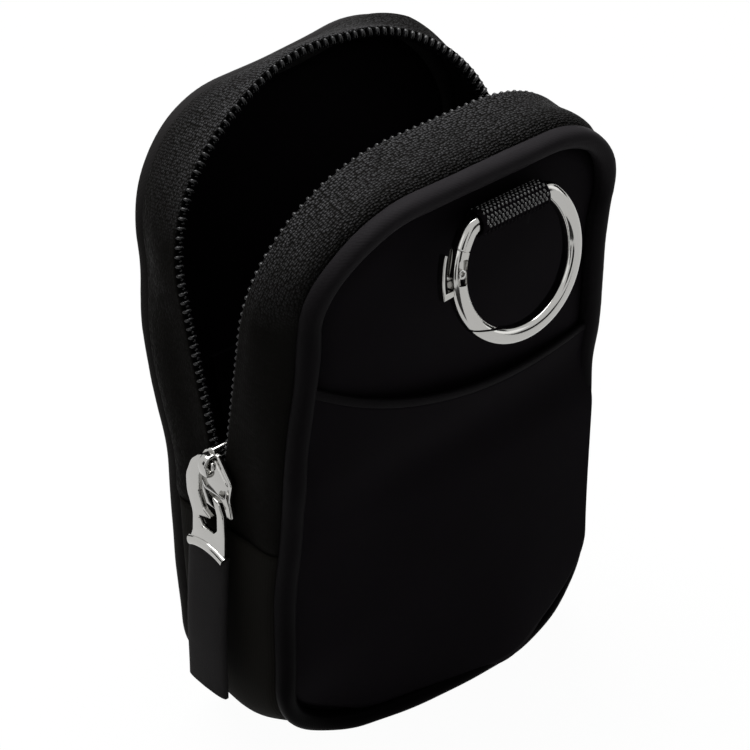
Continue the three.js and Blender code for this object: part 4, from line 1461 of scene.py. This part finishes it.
TAB_W, TAB_T = 12.5 * MM, 1.6 * MM
TAB_L, TAB_CUP, TAB_BOW = 36.2 * MM, 0.35 * MM, 0.4 * MM
TAB_SIDES, TAB_STEPS = 40, 60
tab_section = soft_section(full_turn(TAB_SIDES), TAB_W / 2, TAB_T / 2, 0.35, 0.5)
tab_up = np.linspace(-PULLER_L - 0.2 * MM, -PULLER_L - TAB_L, TAB_STEPS)
tab_rows = []
for b, share in zip(tab_up, np.linspace(0, 1, TAB_STEPS)):
    ripple = noise.noise(Vector((0.3, b * 70, 0.7))) * 0.2 * MM
    bow = ripple + TAB_BOW * math.sin(math.pi * share)
    cupped = [(wide, thick - TAB_CUP * (wide / (TAB_W / 2)) ** 2) for wide, thick in tab_section]
    tab_rows.append([hung(wide, b, thick + bow) for wide, thick in cupped])
# One more row, drawn in a little, rounds the free end.
end = [hung(0, tab_up[-1] - 0.25 * MM, 0) * 0.25 + p * 0.75 for p in tab_rows[-1]]
tab_rows.append([Vector((p.x, p.y + (q.y - p.y) * 0.98, p.z)) for p, q in zip(end, tab_rows[-1])])
pull_tab = swept("pull_tab_ribbon", tab_rows, RIBBON, sharp=60)
stands_for(pull_tab, "pull_tab")
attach(pull_tab, "tab")
print("tab", round(TAB_W / MM, 1), "by", round(TAB_L / MM, 1), "mm")

# %% [markdown]
# The key ring is a thick wire with a straight bar in the webbing and a sprung gate at the left. It is
# drawn in its own plane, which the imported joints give: the swing axis runs through the bar, and the
# gate's axis stands square to the plane. Both ends at the latch are cut to one slope: each point of the
# section runs along its own arc until it meets that slope.

# %% The ring's plane and wire

RING_R, WIRE_R = 15.2 * MM, 1.8 * MM
BAR_UP, BAR_CORNER = 11.2 * MM, 3.0 * MM
PIN_DEG, FORK_DEG = 168, 16.5
LATCH_DEG, LATCH_AIM, LATCH_GAP = 223, 252, 0.4 * MM
PIN = Vector(joints["gate_open"]["pos_m"])
RING_BACK = -Vector(joints["gate_open"]["axis"])
RING_UP = Vector((1, 0, 0)).cross(RING_BACK)
RING_MIDDLE = Vector(joints["ring_swing"]["pos_m"]) - BAR_UP * RING_UP
SECTION_POWER = 0.8


def ring_spot(across, up, deep):
    """A place in the ring's plane, counted from its middle, and behind the plane by deep."""
    return RING_MIDDLE + Vector((across, 0, 0)) + RING_UP * up + RING_BACK * deep


def on_arc(degrees, radius, middle=(0, 0)):
    """A point (across, up) on a circle in the ring's plane."""
    turn = math.radians(degrees)
    return middle[0] + radius * math.cos(turn), middle[1] + radius * math.sin(turn)


def wire_section(turns):
    """Points (outward, deep) of the wire's section, a little squarer than a circle."""
    return np.array(soft_section(turns, WIRE_R, WIRE_R, SECTION_POWER))


def arc_rows(section, starts, ends, count, radius=RING_R, middle=(0, 0)):
    """Sections along an arc. Every point of the section has its own first and last angle."""
    rows = []
    for t in np.linspace(0, 1, count):
        angles = np.broadcast_to(starts + t * (np.asarray(ends) - starts), len(section))
        points = [(on_arc(angle, radius + out, middle), deep) for angle, (out, deep) in zip(angles, section)]
        rows.append([ring_spot(*spot, deep) for spot, deep in points])
    return rows


def latch_angles(section, side):
    """Where each point meets the slope of the latch, on the body's side (1) or the gate's (-1)."""
    reach = RING_R * math.cos(math.radians(LATCH_DEG - LATCH_AIM)) + side * LATCH_GAP / 2
    return LATCH_AIM - np.degrees(np.arccos(np.clip(reach / (RING_R + section[:, 0]), -1, 1)))


round_section = wire_section(full_turn(28))
corner_up = BAR_UP - BAR_CORNER
corner_out = math.sqrt((RING_R - BAR_CORNER) ** 2 - corner_up**2)
corner_deg = math.degrees(math.atan2(corner_up, corner_out))
body_rows = arc_rows(round_section, latch_angles(round_section, 1) - 360, corner_deg, 110)[:-1]
body_rows += arc_rows(round_section, corner_deg, 90, 12, BAR_CORNER, (corner_out, corner_up))
body_rows += arc_rows(round_section, 90, 180 - corner_deg, 12, BAR_CORNER, (-corner_out, corner_up))
body_rows += arc_rows(round_section, 180 - corner_deg, PIN_DEG - FORK_DEG - 1.3, 10)[1:]
ring_wire = swept("ring_wire", body_rows, METAL, sharp=50)
gate_rows = arc_rows(round_section, PIN_DEG + 10, latch_angles(round_section, -1), 50)
gate_wire = swept("gate_wire", gate_rows, METAL, sharp=50)
print("ring middle", [round(v / MM, 1) for v in RING_MIDDLE], "mm")

# %% [markdown]
# At the hinge the gate forks: two halves of the wire run past the pin, and the body's tongue lies
# between them. A pocket is carved through the front half, with the rivet in it. The thumb fin is a thin
# curved lever on the gate's outer side.

# %% Hinge and thumb fin

SLOT = 1.0 * MM
TONGUE_R, TONGUE_T = 1.55 * MM, 1.7 * MM
slot_turn = math.asin((SLOT / WIRE_R) ** (1 / SECTION_POWER))
half_section = wire_section(np.linspace(slot_turn, math.pi - slot_turn, 14))
fork_angles = (PIN_DEG - FORK_DEG, PIN_DEG + 11, 24)
front_fork = swept("front_fork", arc_rows(half_section * (1, -1), *fork_angles), METAL, sharp=40)
rear_fork = swept("rear_fork", arc_rows(half_section, *fork_angles), METAL, sharp=40)


def ring_plate(name, outline, depth, thick, edge):
    """A flat plate in the ring's plane, behind it by depth."""
    place = lambda a, b, h: tuple(ring_spot(a, b, depth + h))
    return plate(name, outline, thick, edge, place, METAL)


def bar_outline(start, end, half, soft):
    """A bar with rounded corners between two places on the ring."""
    a, b = Vector(on_arc(start, RING_R)), Vector(on_arc(end, RING_R))
    way = (b - a).normalized()
    side_way = Vector((-way.y, way.x)) * half
    corners = (a + side_way, b + side_way, b - side_way, a - side_way)
    return rounded([(*corner, soft) for corner in corners])


def carved(piece, cutter):
    """Takes the cutter's shape out of the piece."""
    modifier = piece.modifiers.new("carve", "BOOLEAN")
    modifier.operation = "DIFFERENCE"
    modifier.solver = "EXACT"
    modifier.object = cutter
    piece.data = baked_mesh(piece)
    piece.modifiers.remove(modifier)
    bpy.data.objects.remove(cutter)
    piece.data.set_sharp_from_angle(angle=math.radians(35))
    return piece


pocket_outline = bar_outline(PIN_DEG - 11, PIN_DEG + 9, 1.15 * MM, 0.6 * MM)
front_fork = carved(front_fork, ring_plate("pocket_tool", pocket_outline, -WIRE_R, 2.0 * MM, 0.05 * MM))
tongue_outline = bar_outline(PIN_DEG - FORK_DEG - 3, PIN_DEG + 5, TONGUE_R, 0.7 * MM)
tongue = ring_plate("tongue", tongue_outline, 0, TONGUE_T, 0.2 * MM)
key_ring = merged("key_ring", ring_wire, tongue)
stands_for(key_ring, "ring_body")
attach(key_ring, "ring")

FIN_TIP, FIN_ROOT, FIN_END, FIN_OUT = 155.5, 179, 183, 2.5 * MM
fin_runs = (
    (RING_R + 0.8 * MM, FIN_ROOT, FIN_END),
    (RING_R + WIRE_R + FIN_OUT, FIN_END, FIN_TIP),
    (RING_R + WIRE_R + FIN_OUT - 0.65 * MM, FIN_TIP, FIN_ROOT),
)
fin_outline = [on_arc(d, radius) for radius, start, end in fin_runs for d in np.linspace(start, end, 14)]
fin = ring_plate("thumb_fin", fin_outline, 0, 1.8 * MM, 0.2 * MM)
gate = merged("ring_gate_arm", gate_wire, front_fork, rear_fork, fin)
stands_for(gate, "ring_gate")
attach(gate, "gate")

print("gate faces", len(gate.data.polygons))

# %% [markdown]
# The rivet is a turned pin: one profile swept round the gate's axis, with a small hollow in its head.

# %% Hinge rivet

RIVET_R, RIVET_REACH = 0.95 * MM, 1.75 * MM
rivet_profile = [(0.2, -0.6), (0.42, -0.64), (0.52, -0.96), (0.62, -1.0), (0.9, -0.99), (1.0, -0.94)]
rivet_profile += [(1.0, 0.94), (0.9, 0.99), (0.4, 1.0)]
rivet_rows = [
    [
        PIN
        + RIVET_R * radius * (math.cos(t) * Vector((1, 0, 0)) + math.sin(t) * RING_UP)
        + RIVET_REACH * deep * RING_BACK
        for t in full_turn(24)
    ]
    for radius, deep in rivet_profile
]
rivet = swept("hinge_rivet", rivet_rows, METAL, sharp=40)
stands_for(rivet, "gate_pin")
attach(rivet, "ring")
print("rivet", round(2 * RIVET_R / MM, 1), "mm across")

# %% [markdown]
# A doubled piece of webbing carries the ring: it runs up the face, turns over the bar and comes back to
# its sewn foot, which lies flat in the shade. The band is a strap along that path.

# %% Webbing loop

loop_low, loop_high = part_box("ring_loop")
LOOP_W = loop_high.x - loop_low.x
LOOP_T = 0.75 * MM
LOOP_MID = Vector(((loop_low.x + loop_high.x) / 2, -20.0 * MM, 135.4 * MM))
LOOP_R = 2.45 * MM
FOOT_LOW, FOOT_Y = 126.2 * MM, 17.3 * MM
turns = np.radians(np.linspace(12, 232, 22))
round_bar = [(LOOP_MID.y + LOOP_R * math.cos(t), LOOP_MID.z + LOOP_R * math.sin(t)) for t in turns]
loop_path = [(-FOOT_Y, FOOT_LOW), (-FOOT_Y, FOOT_LOW + 4 * MM), (-FOOT_Y, LOOP_MID.z - 2.2 * MM), *round_bar]
loop_path += [(-FOOT_Y - 1.7 * MM, LOOP_MID.z - 4.4 * MM), (-FOOT_Y - 0.9 * MM, FOOT_LOW + 3.6 * MM)]
loop_path += [(-FOOT_Y - 0.85 * MM, FOOT_LOW)]
path = soft_line(loop_path, 220)
steps = run_length(path)
even = np.linspace(0, steps[-1], 110)
path = np.column_stack([np.interp(even, steps, path[:, 0]), np.interp(even, steps, path[:, 1])])
line = np.column_stack([np.full(len(path), LOOP_MID.x), path])
band = strap("webbing_loop", leaned(line, FRONT), LOOP_W, LOOP_T, (1, 0, 0), PANEL, power=0.4, sides=20)
print("webbing", round(even[-1], 1), "mm long")

# %% [markdown]
# The webbing's coarse weave is real: the point tree lays an oval of yarn on every crossing, shifted by half a
# step from row to row. The yarns on the fold get the shiny webbing finish; those under it, which lie in
# shade, get the dull panel cloth's finish as painted shade.

# %% Yarns of the webbing

YARN_ACROSS, YARN_ALONG = 0.98 * MM, 0.84 * MM
YARN_SIZE, YARN_SLANT, YARN_SUNK = (1.0 * MM, 0.66 * MM, 0.56 * MM), 0.35, 0.42
way = directions(line)
outside = np.cross(way, (1, 0, 0))
outside *= np.sign(np.sum(outside * (line - np.array(LOOP_MID)), axis=1))[:, None]
at_foot = line[:, 2] < LOOP_MID.z - 3 * MM
outside[at_foot] = (0, -1, 0)
yarn_at, yarn_along, yarn_up = [], [], []
yarn_rows = int(even[-1] * MM / YARN_ALONG)
for r in range(yarn_rows):
    k = min(len(line) - 2, int(round((r + 0.5) / yarn_rows * (len(line) - 1))))
    if at_foot[k]:
        continue
    count = int(LOOP_W / YARN_ACROSS) - (r % 2)
    for c in range(count):
        x = (c - (count - 1) / 2) * YARN_ACROSS
        yarn_at.append(line[k] + (x, 0, 0) + outside[k] * LOOP_T * YARN_SUNK)
        yarn_along.append(way[k] + np.array((YARN_SLANT if r % 2 else -YARN_SLANT, 0, 0)))
        yarn_up.append(outside[k])
yarn_at, yarn_along, yarn_up = np.array(yarn_at), np.array(yarn_along), np.array(yarn_up)


def lay_yarns(name, chosen, finish):
    """The chosen yarns, leaned with the face, as one piece."""
    at = yarn_at[chosen]
    turned = lambda v: leaned(at + v[chosen] * MM, FRONT) - leaned(at, FRONT)
    along, up = turned(yarn_along), turned(yarn_up)
    return copies(name, POINT_TREE, leaned(at, FRONT), along, up, finish, YARN_SIZE, jitter=0.1)


# Painted shade: the yarns under the fold, which face away from the light, get the dull panel finish instead
# of the shiny webbing finish.
on_fold = yarn_up[:, 2] > 0.05
yarns = lay_yarns("webbing_yarns", on_fold, WEBBING)
shaded = lay_yarns("webbing_under_yarns", ~on_fold, PANEL)
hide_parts("ring_loop", "loop_foot")
for piece in (band, yarns, shaded):
    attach(piece, "front_half")
print("webbing", len(yarn_at), "yarns")

# %% [markdown]
# The stage is a plain pale floor under a white world. Both are white to the camera and in mirror images, and
# throw only a plain light on the pouch, so that black cloth stays black.

# %% Floor and world


def flat_card(name, middle, size, turn, finish):
    """A flat rectangle of the stage."""
    mesh = bpy.data.meshes.new(name)
    half_w, half_h = size[0] / 2, size[1] / 2
    corners = [(-half_w, -half_h, 0), (half_w, -half_h, 0), (half_w, half_h, 0), (-half_w, half_h, 0)]
    mesh.from_pydata(corners, [], [(0, 1, 2, 3)])
    mesh.materials.append(finish)
    card = linked(name, mesh)
    card.location, card.rotation_euler = middle, turn
    return card


def seen_directly(tree):
    """1 for rays from the camera and for mirror images, 0 for light that falls on the pouch."""
    path = tree.nodes.new("ShaderNodeLightPath")
    first = product(tree, path.outputs["Is Camera Ray"], path.outputs["Is Glossy Ray"], "MAXIMUM")
    return product(tree, first, path.outputs["Is Transmission Ray"], "MAXIMUM")


floor_finish, floor_tree, floor_shader = finish_base("pale_floor", (0.8, 0.8, 0.8), 0.9, 0.1)
white = floor_tree.nodes.new("ShaderNodeEmission")
white.inputs["Strength"].default_value = 1.0
mix = floor_tree.nodes.new("ShaderNodeMixShader")
seen = ranged(floor_tree, seen_directly(floor_tree), 0.0, 0.97)
floor_tree.links.new(seen, mix.inputs["Fac"])
floor_tree.links.new(floor_shader.outputs["BSDF"], mix.inputs[1])
floor_tree.links.new(white.outputs["Emission"], mix.inputs[2])
floor_tree.links.new(mix.outputs["Shader"], floor_tree.nodes["Material Output"].inputs["Surface"])
flat_card("floor", (0, 0, -0.15 * MM), (6, 6), (0, 0, 0), floor_finish)

world = bpy.data.worlds.new("white_room")
bpy.context.scene.world = world
world.use_nodes = True
sky = world.node_tree.nodes["Background"]
brightness = ranged(world.node_tree, seen_directly(world.node_tree), 0.12, 1.0)
world.node_tree.links.new(brightness, sky.inputs["Strength"])
sky.inputs["Color"].default_value = (1, 1, 1, 1)
print("stage", floor_finish.name, "and", world.name)

# %% [markdown]
# A wide soft light hangs overhead, and a weaker one stands at each side. Large lights give the long soft
# glints that rims and tape show.

# %% Lights


def soft_light(name, place, aim, size, watts):
    """A rectangular light at a place, turned towards its aim."""
    data = bpy.data.lights.new(name, "AREA")
    data.shape = "RECTANGLE"
    data.size, data.size_y = size
    data.energy = watts
    lamp = linked(name, data)
    lamp.location = place
    lamp.rotation_euler = (Vector(aim) - Vector(place)).to_track_quat("-Z", "Y").to_euler()


MIDDLE = (0, 0, 0.08)
soft_light("over", (0.05, 0.2, 0.75), MIDDLE, (0.6, 0.5), 9.0)
soft_light("left", (-0.75, -0.35, 0.45), MIDDLE, (0.35, 0.7), 0.5)
soft_light("right", (0.7, -0.5, 0.35), MIDDLE, (0.3, 0.7), 0.5)
print("lights", len(bpy.data.lights))

# %% [markdown]
# Polished metal shows what stands round it, so dark cards stand in a ring out of sight and one lies in
# front, as a photographer would place them. Only mirror images show them.

# %% Dark cards

CARD_RADIUS = 0.9
black, _, _ = finish_base("black_card", (0.004, 0.004, 0.004), 1.0, 0.5)
dark_cards = [((-0.21, -0.33, 0.008), (0.3, 0.44), (0, 0, 0))]
for bearing, low, high, wide in (
    (-150, 0.02, 0.42, 0.30),
    (-105, 0.02, 0.50, 0.42),
    (-60, 0.02, 0.30, 0.34),
    (-15, 0.02, 0.46, 0.40),
    (40, 0.02, 0.34, 0.36),
    (95, 0.02, 0.40, 0.30),
    (160, 0.02, 0.50, 0.44),
):
    turn_by = math.radians(bearing)
    place = (CARD_RADIUS * math.cos(turn_by), CARD_RADIUS * math.sin(turn_by), (low + high) / 2)
    dark_cards.append((place, (wide, high - low), (QUARTER, 0, turn_by + QUARTER)))
for k, (place, size, turn) in enumerate(dark_cards):
    card = flat_card("dark_card_%d" % k, place, size, turn, black)
    card.visible_camera = card.visible_shadow = card.visible_diffuse = False
print("dark cards", len(dark_cards))

# %% [markdown]
# The camera stands where a fit to the outline puts it: in front of the left corner, a little over a third
# of a right angle up, far enough for a long lens. A slight roll comes from the same fit.

# %% Camera

CAMERA_AZIMUTH, CAMERA_ELEVATION, CAMERA_ROLL = -39.89, 34.4, -1.55
CAMERA_DISTANCE = 567.1 * MM
CAMERA_AIM = Vector((-1.94 * MM, 0, 77.55 * MM))
FOCAL_PIXELS, IMAGE_PIXELS, SENSOR = 2700, 750, 36.0
azimuth, elevation = math.radians(CAMERA_AZIMUTH), math.radians(CAMERA_ELEVATION)
away = Vector(
    (math.sin(azimuth) * math.cos(elevation), -math.cos(azimuth) * math.cos(elevation), math.sin(elevation))
)
lens = bpy.data.cameras.new("camera")
lens.sensor_width = SENSOR
lens.lens = FOCAL_PIXELS / IMAGE_PIXELS * SENSOR
lens.clip_start = 0.01
lens.clip_end = 20
lens.dof.use_dof = False
camera = linked("camera", lens)
camera.location = CAMERA_AIM + away * CAMERA_DISTANCE
facing = (-away).to_track_quat("-Z", "Y").to_matrix().to_4x4()
camera.rotation_euler = (facing @ Matrix.Rotation(math.radians(CAMERA_ROLL), 4, "Z")).to_euler()
bpy.context.scene.camera = camera
bpy.context.scene.view_settings.view_transform = "Standard"
print("camera at", [round(v / MM) for v in camera.location], "mm, lens", round(lens.lens, 1), "mm")
